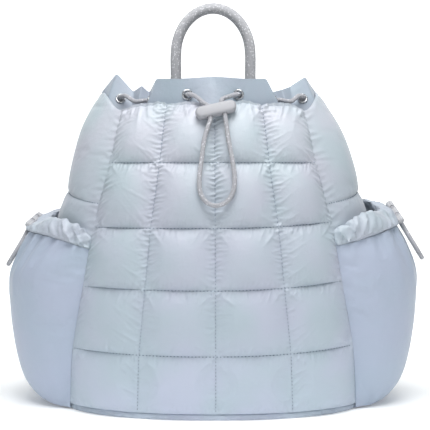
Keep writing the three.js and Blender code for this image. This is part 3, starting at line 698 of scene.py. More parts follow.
def lining(grid):
    """The panel's inside cloth, a little swollen between the seams, on some of the lines of its grid."""
    skin, a, b = grid
    skin = skin[::LINING_STEP, ::LINING_STEP]
    return raised(skin, -(PANEL_EDGE + PANEL_BACKING * pillow(a[::LINING_STEP], b[::LINING_STEP])))


GRIDS = {"front": front_grid(*FRONT_STEPS), "back": back_grid(*BACK_STEPS)}
for side_name, side_facts in POCKETS.items():
    GRIDS[side_name] = side_grid(side_facts["side"], *SIDE_STEPS)

# Ridges of cloth: spacing, width, height, ranges of length and slant, and the share of height on the seam
RIDGES = {
    "outer": (0.0056, 0.0015, 0.0023, (0.004, 0.012), (0.1, 0.8), 0.95),
    "upright": (0.0044, 0.0012, 0.0016, (0.004, 0.008), (-0.2, 0.4), 0.85),
    "middle": (0.0044, 0.0012, 0.0019, (0.004, 0.008), (-0.2, 0.4), 0.85),
    "fans": (0.010, 0.0013, 0.0008, (0.010, 0.022), (0.4, 1.1), 0.45),
    "pleats": (0.0033, 0.00095, 0.0013, (0.004, 0.010), (-0.35, 0.35), 0.45),
    "gathers": (0.0075, 0.0020, 0.0020, (0.008, 0.020), (-0.4, 0.4), 0.9),
    "side": (0.0062, 0.0019, 0.0016, (0.005, 0.014), (-0.2, 0.6), 0.95),
    "side_pleats": (0.008, 0.0022, 0.0008, (0.005, 0.014), (-0.4, 0.4), 0.45),
    "band_tight": (0.0058, 0.0015, 0.0026, (0.03, 0.05), (0.2, 0.9), 0.2),
    "band_broad": (0.0125, 0.0024, 0.0024, (0.03, 0.05), (0.2, 1.1), 0.2),
    "band_end": (0.0048, 0.0013, 0.0022, (0.03, 0.05), (-0.9, 0.2), 0.5),
}


def ridges(kind, along, beside, seed, stagger=0.0):
    """Small ridges of cloth that cross a seam, for points this far along the seam and beside it.

    stagger moves a ridge's two sides apart along the seam by that share of the spacing."""
    spacing, width, height, reach, lean, low = RIDGES[kind]
    chance = np.random.default_rng(seed)
    total = np.zeros_like(along)
    along = along - stagger * spacing * smoothstep(beside, -0.003, 0.003)
    place = along.min() + spacing / 2
    while place < along.max():
        far = np.where(beside < 0, chance.uniform(*reach), chance.uniform(*reach))
        slant = np.where(beside < 0, chance.uniform(*lean), chance.uniform(*lean))
        off = along - place - slant * np.abs(beside)
        total += chance.uniform(0.55, 1.0) * np.exp(-((off / width) ** 2) - (beside / far) ** 2)
        place += spacing * chance.uniform(0.8, 1.25)
    return height * total * (low + (1 - low) * smoothstep(np.abs(beside), 0, 0.0028))


def front_relief():
    """Puckers on the front's seams: across the upright ones, most at the top, and fine pleats at the rest."""
    skin, _, b = GRIDS["front"]
    u, v = length_along(skin, 1), length_along(skin, 0)
    strength = 0.2 + 0.8 * smoothstep(b, 0.8, 3.7)[:, None]
    total = 0.0003 * wander(u / 0.009, 90) * wander(v / 0.010, 91)
    last = len(FRONT_COLUMNS) - 1
    for number in range(last + 1):
        beside = u - u[:, [number * FRONT_STEPS[0]]]
        if number in (0, last):
            total += ridges("outer", v, beside, 100 + number) * strength
            continue
        kind = "middle" if 2 * number == last else "upright"
        total += ridges(kind, v, beside, 100 + number, stagger=0.5) * strength
        if kind == "upright":
            outward = beside * (2 * number - last) > 0
            total += np.where(outward, ridges("fans", v, beside, 120 + number), 0)
    for number in range(len(FRONT_ROWS["z"])):
        beside = v - v[[number * FRONT_STEPS[1]]]
        total += ridges("pleats", u, beside, 200 + number) * np.where(beside < 0, 1.0, 0.6)
    return total + ridges("gathers", u, v - v[[-1]], 210) + corner_creases(u, v)


def corner_creases(u, v):
    """Creases that run slantwise into the pillows from the corners where the quilting lines cross."""
    chance = np.random.default_rng(230)
    total = np.zeros_like(u)
    for row in range(len(FRONT_ROWS["z"])):
        for column in range(len(FRONT_COLUMNS)):
            x = u - u[:, [column * FRONT_STEPS[0]]]
            y = v - v[[row * FRONT_STEPS[1]]]
            for way in ((-1, -1), (-1, 1), (1, -1), (1, 1)):
                turn = chance.uniform(0.5, 1.05)
                middle = chance.uniform(0.008, 0.016)
                size = chance.uniform(0.2, 1)
                along = way[0] * x * math.cos(turn) + way[1] * y * math.sin(turn)
                beside = way[0] * x * math.sin(turn) - way[1] * y * math.cos(turn)
                total += size * hump(along, middle, 0.007) * hump(beside, 0, 0.0016)
    return 0.0011 * total


def from_front(u, name):
    """Lengths along a side's grid lines, counted from its front seam."""
    return u if POCKETS[name]["side"] > 0 else u[:, [-1]] - u


def side_relief(name, seed):
    skin, _, b = GRIDS[name]
    u, v = length_along(skin, 1), length_along(skin, 0)
    total = ridges("side", v, from_front(u, name), seed)
    total *= 0.3 + 0.7 * smoothstep(b, 1.5, 3.4)[:, None]
    for row in range(0, len(b), SIDE_STEPS[1]):
        total += ridges("side_pleats", u, v - v[[row]], seed + 1 + row)
    return total


front_cells = np.sin(math.pi * (GRIDS["front"][1] % 1)) ** 0.6
front_top = front_cells[:, None] * np.array((0, -0.0015, 0.0025))
front_puff = FRONT_PUFF * (0.55 + 0.4 * smoothstep(GRIDS["front"][2], 0.3, 3.0)[:, None])
quilt("front", front_puff, spare=0.008, pressure=25, top=front_top)
quilt("back", BACK_PUFF, spare=0.002, pressure=20)
for side_name in POCKETS:
    quilt(side_name, SIDE_PUFF - 0.0005, spare=0.008, pressure=25)

# The side pockets and their gathered bands
POCKET_EDGE_OUT = POCKET["out"][-1]
POCKET_LEAST_OUT = POCKET["out"][0]
SEWN_OUT = 0.0006
CASING = 0.0085
POCKET_SPARE = 0.02
BAND_SPARE = 0.05
BANDS = {
    -1: {"dip": 0.44, "at": 0.36, "width": 0.28, "reach": 0.15, "hug": 0.6},
    1: {"dip": 0.36, "at": 0.36, "width": 0.17, "reach": 0.35, "hug": 0.45},
}
FINE = np.linspace(0, 1, 801)


def pocket_top(t, pocket):
    """The height of the pocket's upper edge, steepest where it leaves the front seam."""
    rise = 1 - (1 - np.clip(2 * t, 0, 1)) ** pocket["steep"]
    return pocket["front"] + (pocket["outer"] - pocket["front"]) * rise


def band_height(t, band):
    """The band's height, lower at its front end and where the cord lock pulls it in."""
    dip = band["dip"] * hump(t, band["at"], band["width"])
    return BAND_HEIGHT * (1.05 - dip - 0.42 * np.exp(-t / 0.06))


def off_side(t, z, out, depth=0):
    """A point that stands off the right side's skin, most in the middle and least at the seams."""
    along = np.clip(t, 0.01, 0.99)
    height = np.maximum(z, BODY["z"][0] + 0.0001)
    step = 1e-5
    ahead = side_skin(along + step, height) - side_skin(along - step, height)
    upward = side_skin(along, height + step) - side_skin(along, height - step)
    heading = unit(np.cross(ahead, upward))
    heading = unit(heading * np.array((1, 1, 0)) + np.array((POCKET_SIDEWAYS, 0, 0)))
    spread_out = np.sin(math.pi * np.clip(t, 0, 1)) ** POCKET_SPREAD
    edge = smoothstep(np.minimum(t, 1 - t), 0, 0.08)
    far = SEWN_OUT + (POCKET_LEAST_OUT - SEWN_OUT) * edge + (out - POCKET_LEAST_OUT) * spread_out
    far = far - depth * (0.2 + 0.8 * spread_out)
    return side_skin(t, z) + heading * far[..., None]


def pocket_skin(t, v, pocket):
    return off_side(t, pocket_top(t, pocket) * v, through(POCKET, "out", v * POCKET["z"][-1]))


def band_skin(t, v, pocket, depth=0):
    band = BANDS[pocket["side"]]
    top = BAND_TOP_OUT * (1 + band["reach"] * hump(t, 0.52, 0.13) - band["hug"] * smoothstep(t, 0.58, 0.85))
    out = POCKET_EDGE_OUT + (top - POCKET_EDGE_OUT) * v
    return off_side(t, pocket_top(t, pocket) + SEAM_GAP + band_height(t, band) * v, out, depth)


def evenly(values, points, count):
    """Picks values so that the points they stand for lie evenly along their line."""
    far = lengths(points)
    return np.interp(np.linspace(0, far[-1], count), far, values)


def on_own_side(points, t, v, side):
    """A grid made on the right, taken to its own side of the bag so that it still faces outwards."""
    return mirrored(points, side)[:, ::side], t[:, ::side], v


def pocket_grid(pocket, across, up):
    rise = np.linspace(POCKET["z"][0] / POCKET["z"][-1], 1, len(FINE))
    t = evenly(FINE, pocket_skin(FINE, np.full_like(FINE, 0.7), pocket), across + 1)
    v = evenly(rise, pocket_skin(np.full_like(FINE, 0.5), rise, pocket), up + 1)
    t, v = np.meshgrid(t, v)
    return on_own_side(pocket_skin(t, v, pocket), t, v, pocket["side"])


def band_section():
    """The casing's section from its outer seam up, over and down inside: each row's rise and depth."""
    shoulder, crown = 0.94, 0.12
    up = np.linspace(0, shoulder, 13)
    over = np.linspace(0, math.pi, 7)[1:-1]
    down = np.linspace(shoulder, 0.02, 9)
    outside = -0.0026 * np.sin(math.pi * up)
    inside = CASING + 0.0008 * np.sin(math.pi * down)
    rise = np.concatenate([up, shoulder + crown * np.sin(over), down])
    return rise, np.concatenate([outside, CASING / 2 * (1 - np.cos(over)), inside])


def band_grid(pocket, across):
    t = evenly(FINE, band_skin(FINE, np.full_like(FINE, 0.5), pocket), across + 1)
    rise, depth = band_section()
    t, v = np.meshgrid(t, rise)
    return on_own_side(band_skin(t, v, pocket, depth[:, None]), t, v, pocket["side"])


def set_pocket(name, seed):
    skin, t, v = GRIDS[name]
    u = length_along(skin, 1)
    folds = np.sin(2 * math.pi * u / 0.021 + 1.8 * wander(u / 0.02, seed) + 2.5 * v)
    folds *= smoothstep(v, 0.25, 1.0) * np.sin(math.pi * t) ** 0.5
    spare = 0.004 + 0.02 * smoothstep(v, 0.35, 1.0)
    set_cloth(name, raised(skin, 0.0015 * folds), spare, border(skin), pressure=12)


def band_relief(name, seed):
    """Loose folds across a band: tight ones where it meets the front, broad ones further round."""
    skin, t, v = GRIDS[f"band_{name}"]
    along = from_front(length_along(skin, 1), name)
    kinds = ("band_tight", "band_broad", "band_end")
    tight, broad, end = (ridges(kind, along, v * BAND_HEIGHT, seed + k) for k, kind in enumerate(kinds))
    front = hump(t, 0, 0.24)
    return tight * front + broad * (1 - front) + end * hump(t, 0, 0.1)


for side_name, side_facts in POCKETS.items():
    GRIDS[f"pocket_{side_name}"] = pocket_grid(side_facts, 100, 64)
    GRIDS[f"band_{side_name}"] = band_grid(side_facts, 132)
    set_pocket(f"pocket_{side_name}", 41 + side_facts["side"])
    band = GRIDS[f"band_{side_name}"][0]
    set_cloth(f"band_{side_name}", band, BAND_SPARE, border(band), pressure=8)

soft = run_cloths(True)
RELIEF = {"front": front_relief()}
for side_name, side_facts in POCKETS.items():
    RELIEF[side_name] = side_relief(side_name, 310 + 20 * side_facts["side"])
    RELIEF[f"band_{side_name}"] = band_relief(side_name, 51 + side_facts["side"])
for name, relief in RELIEF.items():
    soft[name] = soft[name] + normals_of(GRIDS[name][0]) * relief[..., None]

# Solids through rings


def facing_out(rings):
    """True when rings joined in order enclose their inside, so that faces built from them point outwards."""
    a, b = rings[:-1], rings[1:]
    next_a, next_b = np.roll(a, -1, 1), np.roll(b, -1, 1)
    middle = rings.reshape(-1, 3).mean(0)
    first = np.einsum("ijk,ijk->ij", a - middle, np.cross(next_a - middle, next_b - middle))
    second = np.einsum("ijk,ijk->ij", a - middle, np.cross(next_b - middle, b - middle))
    return (first + second).sum() > 0


def loft(name, rings, finish, uv=None, sharp=50):
    """A solid through rings of points, capped at both ends."""
    if not facing_out(rings):
        rings = rings[:, ::-1]
        uv = None if uv is None else uv[:, ::-1]
    count, sides = rings.shape[:2]
    faces = grid_faces(count, sides, closed=True).tolist()
    ends = np.arange(sides)
    faces += [ends[::-1].tolist(), (ends + (count - 1) * sides).tolist()]
    made = new_object(name, rings, faces, None, finish, sharp)
    if uv is None:
        round_ring = np.linalg.norm(np.diff(np.append(rings, rings[:, :1], 1), axis=1), axis=-1)
        along = length_along(rings, 0)[:, :1] * np.ones(sides + 1)
        uv = np.stack([np.append(np.zeros((count, 1)), np.cumsum(round_ring, 1), 1), along], -1)
    corners = np.stack([uv[:-1, :-1], uv[:-1, 1:], uv[1:, 1:], uv[1:, :-1]], 2).reshape(-1, 2)
    corners = np.concatenate([corners, np.zeros((2 * sides, 2))])
    made.data.uv_layers.new(name="cloth").uv.foreach_set("vector", corners.astype(np.float32).ravel())
    return made


def applied(piece):
    """Bakes a piece's modifiers into its mesh."""
    graph = bpy.context.evaluated_depsgraph_get()
    mesh = bpy.data.meshes.new_from_object(piece.evaluated_get(graph))
    piece.modifiers.clear()
    piece.data = mesh
    return piece


def cut_out(piece, cutters, sharp=40):
    """Cuts other objects out of a piece and removes them."""
    for cutter in cutters:
        modifier = piece.modifiers.new("cut", "BOOLEAN")
        modifier.operation = "DIFFERENCE"
        modifier.solver = "EXACT"
        modifier.object = cutter
    applied(piece)
    for cutter in cutters:
        bpy.data.objects.remove(cutter)
    piece.data.set_sharp_from_angle(angle=math.radians(sharp))
    return piece


# A direction that no cord or bore runs along
ASIDE = (0.31, 0.87, 0.39)


def rod(name, start, end, radius, sides=32):
    """A plain cylinder between two points, for cutting."""
    along = unit(end - start)
    across = unit(np.cross(along, ASIDE))
    up = np.cross(along, across)
    angle = np.linspace(0, 2 * math.pi, sides, endpoint=False)[:, None]
    ring = radius * (np.cos(angle) * across + np.sin(angle) * up)
    return loft(name, np.stack([start + ring, end + ring]), None)


# Cords and the rope handle


def curve_through(route, steps=24):
    """Points on a smooth curve through a route, with steps points for each of its spans."""
    p = np.asarray(route, float)
    p = np.vstack([2 * p[0] - p[1], p, 2 * p[-1] - p[-2]])
    gap = np.linalg.norm(np.diff(p, axis=0), axis=1) ** 0.5
    t = np.linspace(0, 1, steps, endpoint=False)[:, None]
    runs = []
    for i in range(1, len(p) - 2):
        a, b, c = gap[i - 1 : i + 2]
        p0, p1, p2, p3 = p[i - 1 : i + 3]
        leave = ((p1 - p0) / a - (p2 - p0) / (a + b) + (p2 - p1) / b) * b
        reach = ((p2 - p1) / b - (p3 - p1) / (b + c) + (p3 - p2) / c) * b
        runs.append(cubic(p1, p2 - p1, leave, reach, t))
    return np.vstack([*runs, p[-2]])


def line_length(points):
    return np.linalg.norm(np.diff(points, axis=0), axis=1).sum()


def even_steps(points, step):
    """The same line with points at even steps of about the given length."""
    far = lengths(points)
    count = max(2, round(far[-1] / step) + 1)
    return at_lengths(points, far, np.linspace(0, far[-1], count))


def frames_along(points):
    """Two unit vectors across a line at each of its points, turned as little as possible along it."""
    along = unit(np.gradient(points, axis=0))
    across = [unit(np.cross(along[0], ASIDE))]
    for heading in along[1:]:
        last = across[-1]
        across.append(unit(last - heading * last.dot(heading)))
    across = np.array(across)
    return across, np.cross(along, across)


def braided(name, path, diameter, strands, finish, sides, step, relief):
    """A braided cord: two families of strands cross over each other round its surface."""
    points = even_steps(path, step)
    far = lengths(points)[:, None]
    across, up = frames_along(points)
    angle = np.linspace(0, 2 * math.pi, sides + 1)[None, :]
    lead = 0.75 * strands / (diameter / 2)
    one, other = strands * angle + lead * far, strands * angle - lead * far
    height = np.maximum(np.cos(one) ** 2, np.cos(other) ** 2)
    radius = diameter / 2 * (1 + relief * (height - 0.75))
    ring = np.cos(angle)[..., None] * across[:, None] + np.sin(angle)[..., None] * up[:, None]
    rings = points[:, None] + ring * radius[..., None]
    uv = np.stack([one, other], -1) / math.pi
    return loft(name, rings[:, :-1], finish, uv, sharp=80)


def turned(matrix):
    """Points from a piece's own frame into the bag's."""
    turn = np.array(matrix)
    return lambda *point: turn[:3, :3] @ np.array(point, float) + turn[:3, 3]


def frame_of(x, y, z, centre):
    """The matrix of a piece's own frame, from its axes and its centre in the bag."""
    turn = np.eye(4)
    turn[:3] = np.column_stack([x, y, z, centre])
    return turn


LOCK = {"length": 0.039, "height": 0.0115, "depth": 0.0085, "holes": 0.014, "bore": 0.0028}
POCKET_LOCK = {"length": 0.031, "height": 0.0060, "depth": 0.0068, "holes": 0.011, "bore": 0.0023}
LOCK_TURN = (
    Matrix.Translation((0.0028, -0.0759, 0.288))
    @ Matrix.Rotation(math.radians(-23), 4, "X")
    @ Matrix.Rotation(math.radians(-14), 4, "Y")
)
on_lock = turned(LOCK_TURN)
POCKET_LOCK_ENDS = {
    -1: ((0.1830, -0.008, 0.1775), (0.1760, 0.014, 0.1855)),
    1: ((0.1872, -0.012, 0.1800), (0.1768, 0.010, 0.1990)),
}
POCKET_LOOP = {"drop": 0.044, "width": 0.028, "bend": 0.0095}
POCKET_LOOP_SHAPE = ((0.44, 0.30), (0.5, 0.62), (0.36, 0.88))
POCKET_LOOP_HANG = unit(np.array((0.58, -0.25, -1)))
POCKET_LOOP_ACROSS = np.array((-0.11, -1, 0))


def pocket_lock_turn(pocket):
    """The frame of the right pocket's lock: its length along X, its bores along Z."""
    front, back = np.array(POCKET_LOCK_ENDS[pocket["side"]])
    x = unit(front - back)
    z = unit(x * POCKET_LOOP_HANG.dot(x) - POCKET_LOOP_HANG)
    return frame_of(x, np.cross(z, x), z, (front + back) / 2)


def ring_of_folds(right="right", left="left"):
    """The collar's folds, from the front round by the right: foot and top in plan, and the top's height."""
    folds = {"right": COLLAR_FOLDS, "left": {**COLLAR_FOLDS, **COLLAR_LEFT}}
    own = np.array(list(folds[right].values()))
    other = np.array(list(folds[left].values()))
    return np.concatenate([own, other[-2:0:-1] * np.array((-1, 1, -1, 1, 1))])


def set_in(ring, far):
    """A ring of plan points moved inwards, mitred at each fold."""
    ahead = np.roll(ring, -1, 0) - ring
    inward = unit(np.stack([-ahead[:, 1], ahead[:, 0]], -1))
    middle = unit(np.roll(inward, 1, 0) + inward)
    return ring + middle * (far / (middle * inward).sum(-1, keepdims=True))


def eyelet_seats(side_name):
    """Each eyelet's place in the middle of the cloth, as if on the right, and the way out of the bag."""
    folds = ring_of_folds(side_name, side_name)
    names = list(COLLAR_FOLDS)
    seats = {}

    def on_facet(low, high, a, b, share, z):
        ends = []
        for k in (a, b):
            rise = (z - COLLAR_BOTTOM) / (folds[k, 4] - COLLAR_BOTTOM)
            ends.append(np.append(low[k] + (high[k] - low[k]) * rise, z))
        return ends[0] + (ends[1] - ends[0]) * share

    outer = folds[:, :2], folds[:, 2:4]
    inner = set_in(outer[0], CLOTH), set_in(outer[1], CLOTH)
    for name, (first, second, share, z) in EYELETS.items():
        a, b = names.index(first), names.index(second)
        place = on_facet(*outer, a, b, share, z)
        centre = (place + on_facet(*inner, a, b, share, z)) / 2
        across = on_facet(*outer, a, b, share + 0.1, z) - place
        up = on_facet(*outer, a, b, share, z + 0.004) - place
        out = unit(np.cross(across, up))
        seats[name] = centre, out if out.dot(place - centre) > 0 else -out
    return seats


SEATS = {side_name: eyelet_seats(side_name) for side_name in POCKETS}


def mm(*point):
    return np.array(point) / 1000


def drawcord_side(side):
    """The drawcord's route on one side, from inside the lock out to the bag's back."""
    hole, top = side * LOCK["holes"] / 2, LOCK["height"] / 2

    def near(name, far, shift=(0, 0, 0)):
        centre, out = SEATS["right" if side > 0 else "left"][name]
        return centre + out * far / 1000 + mm(*shift)

    from_lock = [
        on_lock(hole, 0, SEAM_GAP),
        on_lock(hole, 0, top + 0.001),
        on_lock(hole + 0.002 * side, 0.002, top + 0.0045),
    ]
    round_collar = [
        near("front", 9, (-6, 0, -2)),
        near("front", 5, (-0.6, 0, 0)),
        near("front", 0),
        near("front", -5, (0.6, 0, 0)),
        near("fold", -9, (0, 2, 0)),
        near("fold", -4.5),
        near("fold", 0),
        near("fold", 5),
        mm(74, -42.5, 297.5),
        near("side", 9, (-5, -1.5, -0.5)),
        near("side", 4.5),
        near("side", 0),
        near("side", -5),
        mm(90, -5, 300),
        near("rear", -9, (2, -4, 0)),
        near("rear", -4.5),
        near("rear", 0),
        near("rear", 5),
        near("rear", 9, (-3, 3, 0)),
        mm(82, 47, 299),
        near("back", 9, (2, 0, 0)),
        near("back", 4.5),
        near("back", 0),
        near("back", -5),
        mm(38, 44, 298),
    ]
    return np.vstack([from_lock, mirrored(np.array(round_collar), side)])


LOOP_ROUTE = np.array([
    (-0.0075, -0.0838, 0.262),
    (-0.0105, -0.0904, 0.240),
    (-0.0124, -0.0959, 0.222),
    (-0.0110, -0.0984, 0.2105),
    (-0.0055, -0.0996, 0.2025),
    (0.0030, -0.1002, 0.1995),
    (0.0118, -0.0996, 0.2025),
    (0.0180, -0.0984, 0.2110),
    (0.0200, -0.0959, 0.2230),
    (0.0180, -0.0904, 0.2410),
    (0.0140, -0.0838, 0.2630),
])


def loop_route():
    hole, bottom = LOCK["holes"] / 2, -LOCK["height"] / 2
    left, right = ([on_lock(s * hole, 0, z) for z in (-SEAM_GAP, bottom - 0.001)] for s in (-1, 1))
    return np.vstack([*left, LOOP_ROUTE, *right[::-1]])


def bend(start, heading, toward, radius):
    """Points on a bend of one radius, from one heading to another."""
    angle = math.acos(heading @ toward)
    side = unit(toward - heading * math.cos(angle))
    turn = np.linspace(0, angle, 5)[:, None]
    return start + radius * (np.sin(turn) * heading + (1 - np.cos(turn)) * side)


def relaxed(path, rounds=30):
    """A path with its bends eased, as a cord's own stiffness eases them."""
    points = even_steps(path, 0.0015)
    for _ in range(rounds):
        points[1:-1] = (points[:-2] + 2 * points[1:-1] + points[2:]) / 4
    return points


def pocket_cord_path(pocket):
    """A pocket cord's free loop, from one bore of its lock down, round and up to the other."""
    hole, top = POCKET_LOCK["holes"] / 2, POCKET_LOCK["height"] / 2
    turn = pocket_lock_turn(pocket)
    on_pocket_lock = turned(turn)
    across = POCKET_LOOP_ACROSS * POCKET_LOOP["width"]
    drop = POCKET_LOOP_HANG * POCKET_LOOP["drop"]
    strands = {}
    for s in (-1, 1):
        leave = bend(on_pocket_lock(s * hole, 0, -top), -turn[:3, 2], POCKET_LOOP_HANG, POCKET_LOOP["bend"])
        strands[s] = [on_pocket_lock(s * hole, 0, top - SEAM_GAP), *leave]
    middle = (strands[-1][-1] + strands[1][-1]) / 2
    for s, strand in strands.items():
        for share, far in POCKET_LOOP_SHAPE:
            strand.append(middle + drop * far + across * s * share)
    route = np.array([*strands[-1], middle + drop, *strands[1][::-1]])
    return mirrored(relaxed(curve_through(route)), pocket["side"])


CORD_BRAID = {"diameter": CORD, "strands": 4, "finish": BRAID, "sides": 24, "relief": 0.16}


def free_cord(name, path):
    """A cord that hangs free between its two ends in the bag."""
    made = braided(name, path, step=0.0006, **CORD_BRAID)
    put(made, "cord", name.replace("_braid", ""))
    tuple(path[0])
    even_steps(path, 0.002)
    return made


drawcord_route = np.vstack([drawcord_side(-1), mm(0, 46, 298), drawcord_side(1)[::-1]])
drawcord = braided("drawcord_braid", curve_through(drawcord_route), step=0.0007, **CORD_BRAID)
put(drawcord, "cord", "drawcord")
free_cord("drawcord_loop_braid", curve_through(loop_route()))
for side_name, side_facts in POCKETS.items():
    free_cord(f"pocket_cord_{side_name}_braid", pocket_cord_path(side_facts))

HANDLE = {"half": 0.039, "y": 0.0626, "foot": 0.2934, "spring": 0.352, "top": 0.400}
ROPE_BRAID = {"diameter": 0.011, "strands": 12, "finish": ROPE, "sides": 96, "relief": 0.09}


def handle_route():
    half, y, foot, spring, top = HANDLE.values()
    leg = [(foot + (spring - foot) * share) for share in (0, 0.33, 0.67)]
    angle = np.linspace(0, math.pi, 13)
    arch = [(-half * math.cos(a), y, spring + (top - spring) * math.sin(a)) for a in angle]
    return [(-half, y, z) for z in leg] + arch + [(half, y, z) for z in leg[::-1]]


handle = braided("handle_rope", curve_through(handle_route()), step=0.0006, **ROPE_BRAID)
put(handle, "rope", "carry_handle")

# Padded panels, pockets and bands


def cut_size(name, spare):
    """The width, height and area of a flat cloth that a grid was gathered from."""
    skin = GRIDS[name][0]
    width, height = length_along(skin, 1) * (1 + spare), length_along(skin, 0) * (1 + spare)
    cells = np.diff(width, axis=1)[:-1] * np.diff(height, axis=0)[:, :-1]
    return width.max(), height.max(), cells.sum()


def panel(key, node):
    made = put(wall(f"{node}_quilt", soft[key], lining(GRIDS[key]), NYLON), "nylon", node)


def make_pocket(side_name):
    """A pocket's cloth and the gathered casing at its mouth."""
    outer = soft[f"pocket_{side_name}"]
    pocket = wall(f"side_pocket_{side_name}_cloth", outer, raised(outer, -CLOTH), SHADED_NYLON)
    put(pocket, "nylon", f"side_pocket_{side_name}")
    width, height, area = cut_size(f"pocket_{side_name}", POCKET_SPARE)
    casing = soft[f"band_{side_name}"].transpose(1, 0, 2)
    band = put(loft(f"pocket_band_{side_name}_casing", casing, NYLON), "nylon", f"pocket_band_{side_name}")
    width, height, area = cut_size(f"band_{side_name}", BAND_SPARE)


panel("front", "front_panel")
panel("back", "back_panel")
for side_name in POCKETS:
    panel(side_name, f"side_panel_{side_name}")
    make_pocket(side_name)

# The collar and its eyelets
COLLAR_HEM = 0.008
HOLE_REACH = 0.006


def collar_ring(share):
    """The collar's line at a share of its height, with its folds rounded a little."""
    folds = ring_of_folds()
    count = len(folds)
    foot = np.column_stack([folds[:, :2], np.full(count, COLLAR_BOTTOM)])
    line = foot + (folds[:, 2:] - foot) * share
    at = np.arange(0, count, 1 / 16)
    window = 0.1 * np.linspace(-1, 1, 9)
    places = at[:, None] + window
    whole = np.floor(places).astype(int)
    part = (places - whole)[..., None]
    return (line[whole % count] * (1 - part) + line[(whole + 1) % count] * part).mean(1)


def each_seat():
    """Every eyelet's name and side, its place in the collar and the way out of the bag there."""
    for side_name, side_facts in POCKETS.items():
        for name, seat in SEATS[side_name].items():
            yield name, side_name, *mirrored(np.array(seat), side_facts["side"])


def make_collar():
    shares = np.linspace(0, 1, 15)
    outer = np.array([collar_ring(share) for share in shares])
    out = normals_of(outer, closed=True)
    u = length_along(outer, 1)
    rise = shares[:, None]
    creases = wander(u / 0.011 + 3 * rise, 71) + 0.6 * wander(u / 0.006 - 4 * rise, 72)
    outer = outer + out * (0.00035 * creases * rise)[..., None]
    outer = np.concatenate([[outer[0] - (0, 0, COLLAR_HEM)], outer])
    out = np.concatenate([out[:1], out])
    made = wall("collar_cloth", outer, outer - out * CLOTH, SHADED_NYLON, closed=True)
    cutters = []
    for name, _, centre, way in each_seat():
        reach = way * HOLE_REACH
        cutters.append(rod(f"hole_{name}", centre - reach, centre + reach, EYELET["barrel"] + SEAM_GAP / 2))
    cut_out(made, cutters)
    put(made, "nylon", "collar")


def make_eyelet(name, side_name, centre, out):
    """A rolled metal ring: a flange outside the cloth and a barrel through it."""
    bore, barrel, flange, roll = EYELET.values()
    face = CLOTH / 2 + SEAM_GAP
    middle, half = (flange + bore) / 2, (flange - bore) / 2
    profile = [(bore, -face), (barrel, -face), (barrel, face)]
    profile += [(middle + half * math.cos(a), face + roll * math.sin(a)) for a in np.linspace(0, math.pi, 11)]
    radius, height = np.array(profile).T
    across = unit(np.cross(out, (0, 0, 1)))
    up = np.cross(out, across)
    angle = np.linspace(0, 2 * math.pi, 40, endpoint=False)[:, None, None]
    spoke = np.cos(angle) * across + np.sin(angle) * up
    rings = centre + spoke * radius[None, :, None] + out * height[None, :, None]
    count, sides = rings.shape[:2]
    quads = grid_faces(count + 1, sides, closed=True) % (count * sides)
    if not facing_out(np.concatenate([rings, rings[:1]])):
        quads = quads[:, ::-1]
    made = new_object(f"eyelet_{name}_{side_name}_ring", rings, quads, None, STEEL, 50)
    put(made, "eyelet_metal", f"eyelet_{name}_{side_name}")


make_collar()
for seat in each_seat():
    make_eyelet(*seat)

# Cord locks, buckles and their webbing


def rounded_plate(name, size, radius, edge, place, finish, groove=0.0):
    """A plate with a rounded outline and rounded edges; place takes width, height and depth into the bag."""
    width, height, depth = size
    angle = (np.arange(64) + 0.5) * 2 * math.pi / 64
    cos, sin = np.cos(angle), np.sin(angle)
    quarter = np.linspace(0, math.pi / 2, 7)
    front_edge = [(edge * (1 - math.sin(a)), -depth / 2 + edge * (1 - math.cos(a))) for a in quarter]
    rows = [(0, -1.2 * groove), (groove, 0), (0, 1.2 * groove)] if groove else []
    profile = front_edge + rows + [(inset, -far) for inset, far in front_edge[::-1]]
    rings = []
    for inset, far in profile:
        x = (width / 2 - radius) * np.sign(cos) + (radius - inset) * cos
        y = (height / 2 - radius) * np.sign(sin) + (radius - inset) * sin
        rings.append([place(a, b, far) for a, b in zip(x, y)])
    return loft(name, np.array(rings), finish, sharp=40)


def cord_lock(name, lock, place, finish):
    """A rounded bar with two bores; place takes a point of the lock's own frame into the bag."""
    length, height, depth, holes, bore = lock.values()

    def on_face(a, b, c):
        return place(a, c, b)

    size = length, height, depth
    made = rounded_plate(f"{name}_bar", size, height / 2, 0.0022, on_face, finish, groove=0.0003)
    bores = [rod("bore", place(x, 0, -0.012), place(x, 0, 0.012), bore) for x in (-holes / 2, holes / 2)]
    put(cut_out(made, bores), "lock_plastic", name)


cord_lock("cord_lock", LOCK, on_lock, LOCK_PLASTIC)
for side_name, side_facts in POCKETS.items():
    on_right = turned(pocket_lock_turn(side_facts))
    side = side_facts["side"]
    cord_lock(f"pocket_lock_{side_name}", POCKET_LOCK, lambda *p: mirrored(on_right(*p), side), GREY_PLASTIC)

STRAP = {"width": 0.054, "end": 0.034, "thick": 0.009, "webbing": 0.025, "web": 0.0018}
BUCKLE = {"width": 0.034, "height": 0.024, "thick": 0.003, "bar": 0.004, "slot": 0.006}
BUCKLE_CENTRE = np.array((0.087, 0.110, 0.090))
BUCKLE_HEADING = unit(np.array((10, -13, -36)))
STRAP_ROUTE = np.array([
    (0.046, 0.0665, 0.281),
    (0.047, 0.092, 0.288),
    (0.049, 0.110, 0.276),
    (0.055, 0.122, 0.240),
    (0.064, 0.126, 0.190),
    (0.074, 0.122, 0.145),
])
WEBBING_FOOT = np.array([(0.098, 0.093, 0.053), (0.1035, 0.0835, 0.035), (0.106, 0.0754, 0.022)])


def buckle_frame():
    """X across the webbing, Y up the strap and Z away from the bag."""
    up = -BUCKLE_HEADING
    across = unit(np.array((1, 0, 0)) - up * up[0])
    return frame_of(across, up, np.cross(across, up), BUCKLE_CENTRE)


on_buckle = turned(buckle_frame())


